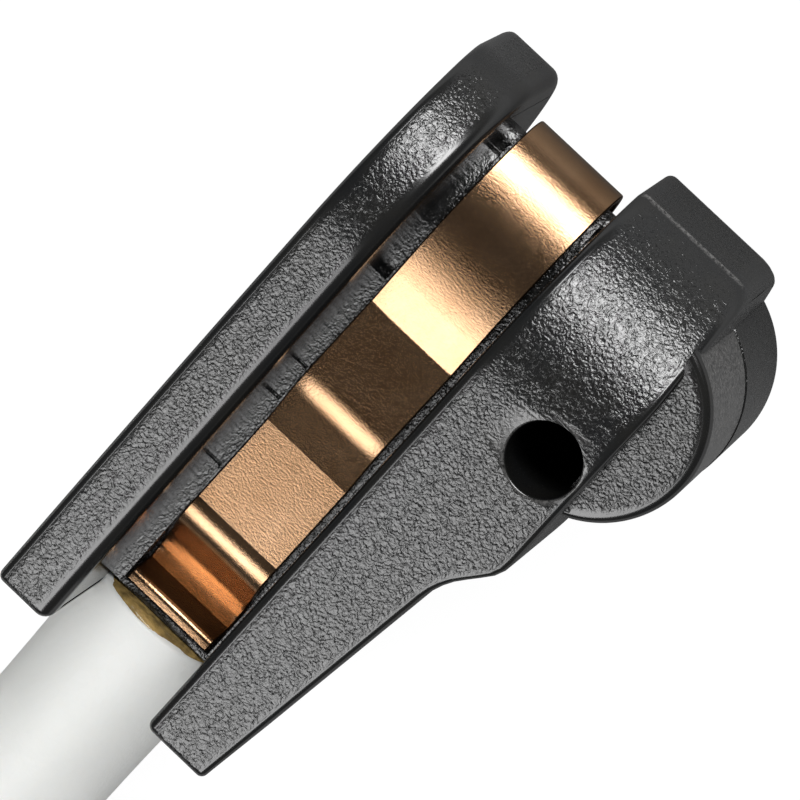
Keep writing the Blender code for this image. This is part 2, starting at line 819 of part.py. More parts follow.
def plug_prism(name, start, end, width, height, radius, collection):
    """A length of rounded bar along the plug's axis, which is local X."""
    bar = flat_piece(name, ring_outline(width, height, radius), end - start, collection)
    along_x = Matrix(((0, 0, 1, 0), (1, 0, 0, 0), (0, 1, 0, 0), (0, 0, 0, 1)))
    bar.data.transform(Matrix.Translation(((start + end) / 2, 0, 0)) @ along_x)
    return bar


def build_plug(parts, cutters, plastic, rubber, metal, insulation):
    """The two-way plug on the cable's far end, built about its own axis and set on the coil."""
    rear, ahead = plug_axis()
    axis = bpy.data.objects.new("plug_axis", None)
    parts.objects.link(axis)
    axis.location = rear
    axis.rotation_euler.z = math.atan2(ahead.y, ahead.x)
    made = []

    def keep(obj):
        made.append(obj)
        return obj

    shell = keep(
        plug_prism("plug_housing", 0, PLUG_LENGTH, PLUG_WIDTH, PLUG_HEIGHT, PLUG_ROUND * 2, parts)
    )
    round_edges(shell, PLUG_ROUND / 2, segments=1)
    socket_start = PLUG_LENGTH - SOCKET_DEPTH
    socket = keep(
        plug_prism(
            "plug_socket",
            socket_start,
            PLUG_LENGTH + PLUG_WALL,
            PLUG_WIDTH - 2 * PLUG_WALL,
            PLUG_HEIGHT - 2 * PLUG_WALL,
            PLUG_ROUND,
            cutters,
        )
    )
    combine(shell, socket, "DIFFERENCE")
    tower = keep(
        plug_prism(
            "plug_tower",
            socket_start - FUSE,
            socket_start + TOWER_LENGTH,
            TOWER_WIDTH,
            TOWER_HEIGHT,
            PLUG_ROUND,
            cutters,
        )
    )
    combine(shell, tower, "UNION")
    latch = keep(
        block(
            "plug_latch",
            (PLUG_LENGTH - LATCH_LENGTH, -LATCH_WIDTH / 2, PLUG_HEIGHT / 2 - FUSE),
            (PLUG_LENGTH - EDGE_ROUND, LATCH_WIDTH / 2, PLUG_HEIGHT / 2 + LATCH_RISE),
            cutters,
        )
    )
    combine(shell, latch, "UNION")
    seal_bore = WIRE_SEAL_DIAMETER / 2 + GAP
    cavity = TERMINAL_SIZE + 2 * GAP
    seal_room = WIRE_SEAL_LENGTH + 3 * GAP
    for number, side in ((1, 1), (2, -1)):
        y = side * TERMINAL_SPACING / 2
        bore = keep(
            cylinder(
                f"wire_seal_bore_{number}",
                seal_bore,
                2 * seal_room,
                (0, y, 0),
                cutters,
                axis="X",
                sides=16,
            )
        )
        way = keep(
            block(
                f"terminal_way_{number}",
                (seal_room - FUSE, y - cavity / 2, -cavity / 2),
                (PLUG_LENGTH, y + cavity / 2, cavity / 2),
                cutters,
            )
        )
        combine(shell, bore, "DIFFERENCE")
        combine(shell, way, "DIFFERENCE")
    lock_slot = keep(
        block(
            "plug_lock_slot",
            (LOCK_START - GAP, -TOWER_WIDTH / 2 - GAP, -PLUG_HEIGHT),
            (
                LOCK_START + LOCK_LENGTH + GAP,
                TOWER_WIDTH / 2 + GAP,
                LOCK_DEPTH + GAP - PLUG_HEIGHT / 2,
            ),
            cutters,
        )
    )
    combine(shell, lock_slot, "DIFFERENCE")
    finish(shell, plastic)

    lock = keep(
        block(
            "plug_lock",
            (LOCK_START, -TOWER_WIDTH / 2, -PLUG_HEIGHT / 2),
            (LOCK_START + LOCK_LENGTH, TOWER_WIDTH / 2, LOCK_DEPTH - PLUG_HEIGHT / 2),
            parts,
        )
    )
    round_edges(lock, LOCK_DEPTH / 6, segments=1)
    finish(lock, insulation)

    seal = keep(
        plug_prism(
            "plug_seal",
            socket_start + GAP,
            socket_start + GAP + PLUG_SEAL_LENGTH,
            PLUG_WIDTH - 2 * PLUG_WALL - 2 * GAP,
            PLUG_HEIGHT - 2 * PLUG_WALL - 2 * GAP,
            PLUG_ROUND,
            parts,
        )
    )
    seal_hole = keep(
        plug_prism(
            "plug_seal_hole",
            socket_start - GAP,
            socket_start + 2 * PLUG_SEAL_LENGTH,
            TOWER_WIDTH + 2 * GAP,
            TOWER_HEIGHT + 2 * GAP,
            PLUG_ROUND,
            cutters,
        )
    )
    combine(seal, seal_hole, "DIFFERENCE")
    finish(seal, rubber)

    for number, side in ((1, 1), (2, -1)):
        y = side * TERMINAL_SPACING / 2
        half = TERMINAL_SIZE / 2
        terminal_end = TERMINAL_START + TERMINAL_LENGTH
        terminal = keep(
            block(
                f"plug_terminal_{number}",
                (TERMINAL_START, y - half, -half),
                (terminal_end, y + half, half),
                parts,
            )
        )
        pin_hole = keep(
            block(
                f"pin_hole_{number}",
                (TERMINAL_START + TERMINAL_LENGTH / 2, y - PIN_HOLE / 2, -PIN_HOLE / 2),
                (terminal_end + GAP, y + PIN_HOLE / 2, PIN_HOLE / 2),
                cutters,
            )
        )
        combine(terminal, pin_hole, "DIFFERENCE")
        finish(terminal, metal)

        wire_bore = LEAD_DIAMETER / 2 + GAP / 2
        outer = WIRE_SEAL_DIAMETER / 2
        groove = outer - GAP
        length = WIRE_SEAL_LENGTH
        ring_profile = [
            (outer, length),
            (outer, length * 0.8),
            (groove, length * 0.65),
            (outer, length * 0.5),
            (groove, length * 0.35),
            (outer, length * 0.2),
            (outer, 0),
            (wire_bore, 0),
            (wire_bore, length),
        ]
        wire_seal = keep(turned(f"plug_wire_seal_{number}", ring_profile, parts, steps=16))
        wire_seal.rotation_euler.y = math.pi / 2
        wire_seal.location = (GAP, y, 0)
        finish(wire_seal, rubber)

        plug_wire = keep(
            wire(
                f"plug_wire_{number}",
                [
                    Vector((-(BOOT_LENGTH - SLEEVE_IN_BOOT) + GAP, y / 3, 0)),
                    Vector((-BOOT_COLLAR, y / 2, 0)),
                    Vector((-BOOT_COLLAR / 3, y, 0)),
                    Vector((TERMINAL_START - GAP, y, 0)),
                ],
                LEAD_DIAMETER,
                parts,
            )
        )
        finish(plug_wire, insulation)

    collar = PLUG_HEIGHT / 2
    bore = CABLE_RADIUS + GAP
    thin = bore + BOOT_WALL / 2
    boot_profile = [
        (collar, -GAP),
        (collar, -BOOT_COLLAR + PLUG_ROUND),
        (collar - PLUG_ROUND, -BOOT_COLLAR),
        (bore + BOOT_WALL, -BOOT_COLLAR),
        (thin, -BOOT_LENGTH),
        (bore, -BOOT_LENGTH),
        (bore, -GAP),
    ]
    boot = keep(turned("plug_boot", boot_profile, parts, steps=24))
    boot.rotation_euler.y = math.pi / 2
    finish(boot, rubber)

    for piece in made:
        piece.parent = axis


def main():
    clear_scene()
    parts = new_collection("brake_pad_wear_sensor")
    cutters = new_collection("cutters")

    black_plastic = material("black_plastic", (0.022, 0.022, 0.024), 0.45)
    copper_alloy = material("copper_alloy", (0.60, 0.36, 0.20), 0.3, 1.0)
    tinned_copper = material("tinned_copper", (0.72, 0.68, 0.62), 0.35, 1.0)
    wire_insulation = material("wire_insulation", (0.55, 0.35, 0.12), 0.5)
    silicone = material("white_silicone", (0.80, 0.81, 0.78), 0.5)
    adhesive = material("adhesive", (0.42, 0.30, 0.12), 0.3)
    rubber = material("seal_rubber", (0.05, 0.05, 0.055), 0.7)

    build_housing(parts, cutters, black_plastic)
    build_clip(parts, copper_alloy)
    build_wiring(parts, tinned_copper, wire_insulation)
    build_adhesive(parts, cutters, adhesive)
    build_cable(parts, silicone)
    build_plug(parts, cutters, black_plastic, rubber, tinned_copper, wire_insulation)


main()
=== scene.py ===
"""Brake pad wear sensor: the looks of its head, spring clip, cable and plug.

Metres, +Z up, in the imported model's frame. +X runs along the head from the cable to the nose.
Along the head, places are given as distances from the cable end. Heights in an outline are from
the head's middle plane.
"""

import math
import random

import bmesh
import bpy
from mathutils import Matrix, Quaternion, Vector


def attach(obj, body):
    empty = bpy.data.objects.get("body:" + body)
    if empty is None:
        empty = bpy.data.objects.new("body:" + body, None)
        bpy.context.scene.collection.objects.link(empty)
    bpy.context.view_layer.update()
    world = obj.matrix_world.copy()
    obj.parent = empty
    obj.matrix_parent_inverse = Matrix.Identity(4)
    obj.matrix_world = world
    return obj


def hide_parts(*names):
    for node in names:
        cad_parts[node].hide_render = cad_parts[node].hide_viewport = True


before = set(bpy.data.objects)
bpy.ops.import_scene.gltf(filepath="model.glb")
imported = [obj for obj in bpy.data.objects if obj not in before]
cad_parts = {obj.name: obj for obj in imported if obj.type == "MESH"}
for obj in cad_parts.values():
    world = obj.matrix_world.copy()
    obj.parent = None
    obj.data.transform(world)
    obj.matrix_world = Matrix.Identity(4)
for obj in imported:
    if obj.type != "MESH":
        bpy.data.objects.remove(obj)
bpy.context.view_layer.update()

# Head
HEAD_LENGTH = 0.02456
HEAD_DEPTH = 0.0140
HALF_DEPTH = HEAD_DEPTH / 2
SLOT_WIDTH = 0.00493
NOSE_START = 0.0172
NOSE_FACE_DEPTH = 0.0042
SIDE_CORNER = 0.00035  # radius at the wings' cable ends, seen from the side

PLAIN_WING_START = 0.00012
PLAIN_WING_END = 0.02443
PLAIN_WING_THICKNESS = 0.00234
PLAIN_WING_CROWN = 0.00005
PLAIN_WING_DRAFT = 0.035  # outwards towards the middle plane, per metre of height
PLAIN_WING_SLOT_ROUND = 0.00048
PLAIN_WING_OUTER_ROUND = 0.00028
PLAIN_WING_NOSE = (0.0034, 0.0004)  # radius, and how far before the end it may begin

TIP_WING_START = -0.00010
TIP_WING_ROOT = 0.00265
TIP_WING_THICKNESS = 0.0055
TIP_WING_SLOPE = 0.134
TIP_WING_STEP_END = 0.01285
TIP_WING_STEP_SLOPE = 0.785
TIP_WING_STEP_BENDS = (0.0029, 0.0014)
TIP_WING_TAPER_START = 0.0205
TIP_WING_TAPER = 0.00036
TIP_WING_TAPER_BENDS = (0.010, 0.0008)
TIP_WING_DRAFT = 0.010
TIP_WING_SLOT_ROUND = 0.00032
TIP_WING_OUTER_ROUND = 0.00022
TIP_WING_NOSE = (0.00012, 0.00008)
LOCATING_HOLE_RADIUS = 0.00133
LOCATING_HOLE_MOUTH = 0.00010
LOCATING_HOLE_PLACE = (0.01682, 0.00391)  # along the head, and out from the slot's face

TIP_RADIUS = 0.0040
TIP_DEPTH = 0.0108
TIP_PLACE = (0.01887, 0.0039)
TIP_EDGE = 0.00032
TIP_LOWER_STEP = 0.00003  # the lower half of the mould is a little larger
TIP_PARTING_DEPTH = 0.00005

PLAIN_REACH = SLOT_WIDTH / 2 + PLAIN_WING_THICKNESS + PLAIN_WING_CROWN
TIP_REACH = SLOT_WIDTH / 2 + TIP_PLACE[1] + TIP_RADIUS
SLOT_MID_Y = (TIP_REACH - PLAIN_REACH) / 2
PLAIN_FACE_Y = SLOT_MID_Y + SLOT_WIDTH / 2
TIP_FACE_Y = SLOT_MID_Y - SLOT_WIDTH / 2

# Core and spring clip
CORE_START = 0.0011
CORE_END = 0.02265
CORE_END_WALL = 0.00040
CLIP_WIDTH = 0.00381
CLIP_THICKNESS = 0.00028
CLIP_Y = SLOT_MID_Y - 0.00006
CLIP_EDGE = 0.00007
CLIP_SIDE_GAP = 0.0001

# Cable
CABLE_DIAMETER = 0.0058
CABLE_RADIUS = CABLE_DIAMETER / 2
CABLE_END = 0.0002
CABLE_Y = SLOT_MID_Y + 0.0002
CABLE_ROUTE = (  # away from the head, aside and down
    (0.0, 0.0, 0.0),
    (0.0060, 0.0, 0.0001),
    (0.0120, 0.0, 0.0007),
    (0.0190, 0.0, 0.0019),
    (0.0270, 0.0, 0.0031),
    (0.0340, 0.0, 0.0038),
    (0.0400, 0.0, 0.0041),
)
COIL_PITCH = 0.0063
COIL_OUTER = 0.03845
# wound angles between which the cable climbs over its turns, moves out, and rises to the plug
CLIMB = (4.5 * math.pi, 5.5 * math.pi)
OUTWARD = (4.7 * math.pi, 5.9 * math.pi)
TAIL_START = 6.0 * math.pi
TAIL_END = 6.5 * math.pi
TAIL_RADIUS = 0.0265
PLUG_HEIGHT = 0.0104
SLEEVE_IN_BOOT = 0.0065
SLEEVE_SEAT = 0.00086
SLEEVE_SWELL = 0.00010
SLEEVE_SWELL_RUN = 0.0035
PIECE_GAP = 0.0003

HEAD_START_X = -HEAD_LENGTH / 2
COIL_START_X = HEAD_START_X + CABLE_END - CABLE_ROUTE[-1][0]
COIL_CENTRE = Vector((COIL_START_X, CABLE_Y + COIL_OUTER, 0))
OVER_COIL_Z = CABLE_DIAMETER + PIECE_GAP + CABLE_RADIUS
PLUG_Z = CABLE_DIAMETER + PIECE_GAP + PLUG_HEIGHT / 2


def along(distance):
    """The x of a point that lies this far from the head's cable end."""
    return HEAD_START_X + distance


# Camera
camera_data = bpy.data.cameras.new("photo_camera")
camera_data.lens = 236.25
camera_data.sensor_width = 36
camera_data.clip_start = 0.01
camera_data.clip_end = 20
camera = bpy.data.objects.new("photo_camera", camera_data)
bpy.context.scene.collection.objects.link(camera)
bpy.context.scene.camera = camera
camera_place = Vector((0.0592471, -0.0109990, 0.1791333))
camera_target = Vector((0.00263, 0.001268, 0.0140))
level_view = (camera_target - camera_place).to_track_quat("-Z", "Y")
camera.location = camera_place
camera.rotation_mode = "QUATERNION"
camera.rotation_quaternion = level_view @ Quaternion((0, 0, 1), math.radians(-125.08))


# Shapes
def clamped(value):
    return min(1.0, max(0.0, value))


def mesh_piece(name, verts, faces):
    mesh = bpy.data.meshes.new(name)
    mesh.from_pydata([tuple(v) for v in verts], [], faces)
    piece = bpy.data.objects.new(name, mesh)
    bpy.context.scene.collection.objects.link(piece)
    return piece


def clean_surface(piece, sharp_degrees=38):
    """Welds the mesh, turns its faces outwards, and shades it smooth between its sharp edges."""
    shape = bmesh.new()
    shape.from_mesh(piece.data)
    bmesh.ops.remove_doubles(shape, verts=shape.verts, dist=0.0000002)
    bmesh.ops.recalc_face_normals(shape, faces=shape.faces)
    shape.to_mesh(piece.data)
    shape.free()
    piece.data.shade_smooth()
    piece.data.set_sharp_from_angle(angle=math.radians(sharp_degrees))


def keep_evaluated(piece):
    """Puts what the modifiers make into the piece's own mesh."""
    bpy.context.view_layer.update()
    evaluated = piece.evaluated_get(bpy.context.evaluated_depsgraph_get())
    mesh = bpy.data.meshes.new_from_object(evaluated)
    piece.modifiers.clear()
    piece.data = mesh


def even_normals(piece):
    """Lets the large faces set the shading, so that flats look flat up to their rounded edges."""
    weighted = piece.modifiers.new("even normals", "WEIGHTED_NORMAL")
    weighted.keep_sharp = True
    keep_evaluated(piece)


def join_pieces(name, pieces):
    """One mesh object from several."""
    shape = bmesh.new()
    for piece in pieces:
        shape.from_mesh(piece.data)
    mesh = bpy.data.meshes.new(name)
    shape.to_mesh(mesh)
    shape.free()
    for piece in pieces:
        bpy.data.objects.remove(piece, do_unlink=True)
    joined = bpy.data.objects.new(name, mesh)
    bpy.context.scene.collection.objects.link(joined)
    return joined


def loft(loops, capped=True):
    """Vertices and faces of a skin over closed loops with equal numbers of points."""
    count = len(loops[0])
    verts = [point for loop in loops for point in loop]
    faces = []
    for row in range(len(loops) - 1):
        for i in range(count):
            j = (i + 1) % count
            faces.append(
                (row * count + i, row * count + j, (row + 1) * count + j, (row + 1) * count + i)
            )
    if capped:
        faces.append(tuple(reversed(range(count))))
        faces.append(tuple(range((len(loops) - 1) * count, len(loops) * count)))
    return verts, faces


def turn_arc(centre, start, end, steps):
    """Points from start to end on the arc about centre."""
    first = Vector(start) - Vector(centre)
    sweep = first.angle_signed(Vector(end) - Vector(centre))
    points = []
    for step in range(steps + 1):
        arm = first.copy()
        arm.rotate(Matrix.Rotation(-sweep * step / steps, 2))
        points.append(Vector(centre) + arm)
    return points


def softened(corners, steps=6):
    """An open flat line with each inner corner (a, b, radius) turned into an arc."""
    points = [Vector(corners[0][:2])]
    for before, here, after in zip(corners, corners[1:], corners[2:]):
        corner = Vector(here[:2])
        if here[2] == 0:
            points.append(corner)
            continue
        back = (Vector(before[:2]) - corner).normalized()
        on = (Vector(after[:2]) - corner).normalized()
        half = back.angle(on) / 2
        run = here[2] / math.tan(half)
        centre = corner + (back + on).normalized() * here[2] / math.sin(half)
        points.extend(turn_arc(centre, corner + back * run, corner + on * run, steps))
    points.append(Vector(corners[-1][:2]))
    return points


def height_on(line, x):
    """The height of a flat line over x."""
    for first, second in zip(line, line[1:]):
        if first.x <= x <= second.x and second.x > first.x:
            return first.y + (second.y - first.y) * (x - first.x) / (second.x - first.x)
    return line[0].y if x < line[0].x else line[-1].y


# Head moulding
NOSE_RUN = HEAD_LENGTH - NOSE_START
NOSE_DROP = (HEAD_DEPTH - NOSE_FACE_DEPTH) / 2
NOSE_RADIUS = (NOSE_RUN**2 + NOSE_DROP**2) / (2 * NOSE_DROP)
EDGE_STEPS = 6
FACE_ROWS = 10  # across a wing's face, so that the draft and the crown are followed
FACE_MARGIN = 0.00025  # narrow flats beside the rounded edges keep their shading even
SIDE_MARGIN = 0.0002
NOSE_MARGIN = 0.00010


def upper_side(inset, start, end, nose):
    """The upper half of a wing's outline from the side, as (x, height), inset all round."""
    low = along(start) + inset
    high = HALF_DEPTH - inset
    corner = max(SIDE_CORNER - inset, 0.00002)
    centre = Vector((low + corner, high - corner))
    points = turn_arc(centre, centre + Vector((-corner, 0)), centre + Vector((0, corner)), 8)
    flat_from = along(start) + SIDE_CORNER + SIDE_MARGIN
    flat_to = along(NOSE_START)
    points += [Vector((flat_from + (flat_to - flat_from) * i / 44, high)) for i in range(45)]
    bend = NOSE_RADIUS - inset
    bend_low = HALF_DEPTH - NOSE_RADIUS

    def nose_height(x):
        return bend_low + math.sqrt(bend**2 - (x - flat_to) ** 2)

    nose_edge, nose_edge_run = nose
    last = along(end) - inset
    bend_end = last - nose_edge_run
    for i in range(1, 43):
        x = flat_to + (bend_end - flat_to) * i / 42
        points.append(Vector((x, nose_height(x))))
    edge = softened(
        [(bend_end, nose_height(bend_end)), (last, nose_height(last), nose_edge), (last, 0)], 7
    )
    return points + edge[1:-1] + [edge[-2] - Vector((0, NOSE_MARGIN))]


def wing(name, start, end, face_y, direction, thickness, slot_round, outer_round, nose):
    """A wing with rounded edges. thickness gives its depth from the slot's face at a place."""

    def layer(inset, depth):
        upper = upper_side(inset, start, end, nose)
        outline = upper + [Vector((p.x, -p.y)) for p in reversed(upper)]
        return [
            Vector((p.x, face_y + direction * depth(p.x, p.y), HALF_DEPTH + p.y)) for p in outline
        ]

    turns = [math.pi / 2 * step / EDGE_STEPS for step in range(EDGE_STEPS + 1)]
    loops = [layer(slot_round + FACE_MARGIN, lambda x, h: 0)]
    for turn in turns:
        depth = slot_round * (1 - math.cos(turn))
        loops.append(layer(slot_round * (1 - math.sin(turn)), lambda x, h, depth=depth: depth))
    low = slot_round + SIDE_MARGIN
    for share in (0.0, 0.25, 0.5, 0.75, 1.0):

        def depth_between(x, h, share=share):
            return low + (thickness(x, h) - outer_round - SIDE_MARGIN - low) * share

        loops.append(layer(0, depth_between))
    for turn in turns:
        short = outer_round * (1 - math.sin(turn))
        inset = outer_round * (1 - math.cos(turn))
        loops.append(layer(inset, lambda x, h, short=short: thickness(x, h) - short))
    loops.append(layer(outer_round + FACE_MARGIN, thickness))
    verts, faces = loft(loops, capped=False)
    count = len(loops[0])
    for base, depth in ((0, lambda x, h: 0), ((len(loops) - 1) * count, thickness)):
        columns = []
        for i in range(count // 2):
            top = verts[base + i]
            column = [base + i]
            for row in range(1, FACE_ROWS):
                height = (top.z - HALF_DEPTH) * (1 - 2 * row / FACE_ROWS)
                column.append(len(verts))
                y = face_y + direction * depth(top.x, height)
                verts.append(Vector((top.x, y, HALF_DEPTH + height)))
            column.append(base + count - 1 - i)
            columns.append(column)
        for one, other in zip(columns, columns[1:]):
            for row in range(FACE_ROWS):
                faces.append((one[row], other[row], other[row + 1], one[row + 1]))
    piece = mesh_piece(name, verts, faces)
    clean_surface(piece)
    return piece


def plain_wing_depth(x, height):
    """The plain wing's depth out from the slot, with its slight crown and draft."""
    middle = (along(PLAIN_WING_START) + along(PLAIN_WING_END)) / 2
    share = (x - middle) / (along(PLAIN_WING_END) - middle)
    crown = PLAIN_WING_CROWN * (1 - share**2)
    draft = PLAIN_WING_DRAFT * (HALF_DEPTH - abs(height))
    return PLAIN_WING_THICKNESS + crown + draft


step_run = (TIP_WING_THICKNESS - TIP_WING_ROOT - TIP_WING_SLOPE * TIP_WING_STEP_END) / (
    TIP_WING_STEP_SLOPE - TIP_WING_SLOPE
)
TIP_WING_LINE = softened(
    [
        (along(-0.0005), TIP_WING_ROOT - TIP_WING_SLOPE * 0.0005),
        (
            along(TIP_WING_STEP_END - step_run),
            TIP_WING_ROOT + TIP_WING_SLOPE * (TIP_WING_STEP_END - step_run),
            TIP_WING_STEP_BENDS[0],
        ),
        (along(TIP_WING_STEP_END), TIP_WING_THICKNESS, TIP_WING_STEP_BENDS[1]),
        (along(TIP_WING_TAPER_START), TIP_WING_THICKNESS, TIP_WING_TAPER_BENDS[0]),
        (
            along(HEAD_LENGTH + 0.00001),
            TIP_WING_THICKNESS - TIP_WING_TAPER,
            TIP_WING_TAPER_BENDS[1],
        ),
        (along(HEAD_LENGTH + 0.00001), 0),
    ],
    10,
)[:-1]


def tip_wing_depth(x, height):
    """The other wing's depth out from the slot."""
    return height_on(TIP_WING_LINE, x) + TIP_WING_DRAFT * (HALF_DEPTH - abs(height))


def round_bar(name, centre, profile, sides=72):
    """A closed turned shape about a vertical axis, from (radius, height) going up."""
    loops = [
        [
            centre
            + Vector((radius * math.cos(a), radius * math.sin(a), height))
            for a in (2 * math.pi * i / sides for i in range(sides))
        ]
        for radius, height in profile
    ]
    return mesh_piece(name, *loft(loops))


def cut_hole(piece):
    """The locating hole, right through, with its mouths slightly rounded."""
    mouth = LOCATING_HOLE_MOUTH
    profile = []
    for step in range(7):
        turn = math.pi / 2 * (1 - step / 6)
        profile.append(
            (
                LOCATING_HOLE_RADIUS + mouth * (1 - math.sin(turn)),
                HALF_DEPTH - mouth * (1 - math.cos(turn)),
            )
        )
    profile.append((LOCATING_HOLE_RADIUS + mouth, HALF_DEPTH + 0.0004))
    profile = [(radius, -height) for radius, height in reversed(profile)] + profile
    centre = Vector(
        (along(LOCATING_HOLE_PLACE[0]), TIP_FACE_Y - LOCATING_HOLE_PLACE[1], HALF_DEPTH)
    )
    cutter = round_bar("hole_cutter", centre, profile)
    clean_surface(cutter)
    cut = piece.modifiers.new("locating hole", "BOOLEAN")
    cut.operation = "DIFFERENCE"
    cut.object = cutter
    cut.solver = "EXACT"
    keep_evaluated(piece)
    bpy.data.objects.remove(cutter, do_unlink=True)


def wear_tip():
    """The round tip outside the wing, with rounded rims and a parting line round its wall."""
    edge = TIP_EDGE
    half = TIP_DEPTH / 2
    profile = [(TIP_RADIUS - edge - 0.0002, half), (TIP_RADIUS - edge, half)]
    for step in range(1, 8):
        turn = math.pi / 2 * step / 7
        profile.append(
            (TIP_RADIUS - edge * (1 - math.sin(turn)), half - edge * (1 - math.cos(turn)))
        )
    lower_radius = TIP_RADIUS + TIP_LOWER_STEP
    profile += [
        (TIP_RADIUS, 0.00012),
        (TIP_RADIUS - TIP_PARTING_DEPTH, 0.00004),
        (TIP_RADIUS - TIP_PARTING_DEPTH, -0.00002),
        (lower_radius, -0.00008),
        (lower_radius, -half + edge + 0.0002),
    ]
    for step in range(8):
        turn = math.pi / 2 * step / 7
        profile.append(
            (lower_radius - edge * (1 - math.cos(turn)), -half + edge * (1 - math.sin(turn)))
        )
    profile.append((TIP_RADIUS - edge - 0.0002, -half))
    inside_wing = 0.0004
    chord = TIP_WING_THICKNESS - inside_wing - TIP_PLACE[1]
    loops = []
    for radius, height in profile:
        reach = math.acos(chord / radius)
        loops.append(
            [
                Vector(
                    (
                        along(TIP_PLACE[0]) + radius * math.sin(a),
                        TIP_FACE_Y - TIP_PLACE[1] - radius * math.cos(a),
                        HALF_DEPTH + height,
                    )
                )
                for a in (reach * (2 * i / 60 - 1) for i in range(61))
            ]
        )
    piece = mesh_piece("wear_tip", *loft(loops))
    clean_surface(piece)
    return piece


def side_slab(name, upper, low_y, high_y):
    """A piece of the core: its upper line from the side, mirrored below, between two y values."""
    outline = upper + [Vector((p.x, -p.y)) for p in reversed(upper)]
    loops = [
        [Vector((along(p.x), y, HALF_DEPTH + p.y)) for p in outline] for y in (low_y, high_y)
    ]
    piece = mesh_piece(name, *loft(loops))
    clean_surface(piece, 30)
    bevel = piece.modifiers.new("soft edges", "BEVEL")
    bevel.width = 0.00005
    bevel.segments = 2
    bevel.limit_method = "ANGLE"
    bevel.angle_limit = math.radians(35)
    keep_evaluated(piece)
    return piece


# The core's upper lines from the side: the rails beside the clip, and the bed under it
RAIL_LINE = [
    Vector(p)
    for p in (
        (CORE_START, 0.0018),
        (CORE_START + 0.0001, 0.0020),
        (0.00686, 0.0020),
        (0.00690, 0.00188),
        (0.00697, 0.00188),
        (0.00701, 0.0020),
        (0.01012, 0.0020),
        (0.01020, 0.00186),
        (0.01027, 0.00194),
        (0.01160, 0.00194),
        (0.01166, 0.00184),
        (0.01172, 0.00184),
        (0.01178, 0.0020),
        (0.01602, 0.0020),
        (0.01605, 0.0014),
        (0.01675, 0.0014),
        (0.01678, 0.0020),
        (0.0184, 0.0020),
        (0.0190, 0.00192),
        (0.0196, 0.00174),
        (0.0204, 0.00142),
        (0.0212, 0.00102),
        (0.0216, 0.00078),
        (0.02163, 0.0004),
        (0.0221, 0.0003),
        (0.02213, 0.00055),
        (CORE_END - 0.0001, 0.0003),
        (CORE_END, 0.0001),
    )
]
BED_FLOOR = 0.00052
BED_LINE = [
    Vector(p)
    for p in (
        (CORE_START, 0.0018),
        (CORE_START + 0.00006, 0.0020),
        (CORE_START + CORE_END_WALL - 0.00004, 0.0020),
        (CORE_START + CORE_END_WALL, 0.0018),
        (CORE_START + CORE_END_WALL + 0.0001, BED_FLOOR),
        (0.0029, BED_FLOOR),
        (0.0054, 0.0020),
        (0.0160, 0.0020),
        (0.0184, 0.0020),
        (0.0196, 0.0018),
        (0.0212, 0.0013),
        (0.0222, 0.0007),
        (CORE_END, 0.0001),
    )
]


# How near a point counts as on a surface, and how grain fades where a face turns into its edge
TOUCH = 0.00001
ON_FACE = 0.000002
GRAIN_FADE = 0.00018
SLOT_FACE_GRAIN = 0.1
TIP_BAND_GRAIN = 0.45


def head_grain(place):
    """How much moulded grain a point of the head has: full on faces, none on rounded edges."""
    x, y = place.x, place.y
    height = place.z - HALF_DEPTH
    if y > PLAIN_FACE_Y - TOUCH:
        depth = y - PLAIN_FACE_Y
        thickness = plain_wing_depth(x, height)
        if depth < ON_FACE / 2:
            return SLOT_FACE_GRAIN
        room = min(depth - PLAIN_WING_SLOT_ROUND, thickness - depth - PLAIN_WING_OUTER_ROUND)
        return 1.0 if depth > thickness - ON_FACE else clamped(room / GRAIN_FADE)
    if y > TIP_FACE_Y + TOUCH:
        return 1.0
    depth = TIP_FACE_Y - y
    thickness = tip_wing_depth(x, height)
    from_tip = math.hypot(x - along(TIP_PLACE[0]), depth - TIP_PLACE[1])
    if depth > thickness + TOUCH:
        if abs(height) > TIP_DEPTH / 2 - TOUCH:
            return clamped((TIP_RADIUS - TIP_EDGE - from_tip) / 0.00005)
        if not 0.00007 < abs(height) < TIP_DEPTH / 2 - TIP_EDGE:
            return 0.0
        return 1.0 if height < 0 else TIP_BAND_GRAIN
    if depth < ON_FACE / 2:
        return SLOT_FACE_GRAIN
    from_hole = math.hypot(x - along(LOCATING_HOLE_PLACE[0]), depth - LOCATING_HOLE_PLACE[1])
    if from_hole < LOCATING_HOLE_RADIUS + LOCATING_HOLE_MOUTH + 0.00004:
        return 0.0
    if depth > thickness - ON_FACE:
        return 1.0
    room = min(depth - TIP_WING_SLOT_ROUND, thickness - depth - TIP_WING_OUTER_ROUND)
    return clamped(room / GRAIN_FADE)


def head_highlights_and_pale_band(place):
    """How much a point is painted pale: a painted highlight round the hole's mouth and along the
    nose's edge, and a paler upper half of the tip's band.
    """
    height = abs(place.z - HALF_DEPTH)
    depth = TIP_FACE_Y - place.y
    if depth < 0.0001:
        return 0.0
    if depth > tip_wing_depth(place.x, height) + TOUCH:
        from_tip = math.hypot(place.x - along(TIP_PLACE[0]), depth - TIP_PLACE[1])
        on_band = from_tip > TIP_RADIUS - 0.00004 and place.z > HALF_DEPTH
        return 0.6 if on_band and height < TIP_DEPTH / 2 - TIP_EDGE + 0.00002 else 0.0
    # Painted highlight: a pale ring round the locating hole's rounded mouth.
    hole_x, hole_depth = LOCATING_HOLE_PLACE
    from_hole = math.hypot(place.x - along(hole_x), depth - hole_depth)
    if LOCATING_HOLE_RADIUS + 0.00003 < from_hole < LOCATING_HOLE_RADIUS + 0.00012:
        return 0.5
    # Painted highlight: a pale line along the nose's edge.
    at_end = place.x > along(HEAD_LENGTH) - 0.00006
    return 0.9 if at_end and abs(height - NOSE_FACE_DEPTH / 2) < 0.00006 else 0.0


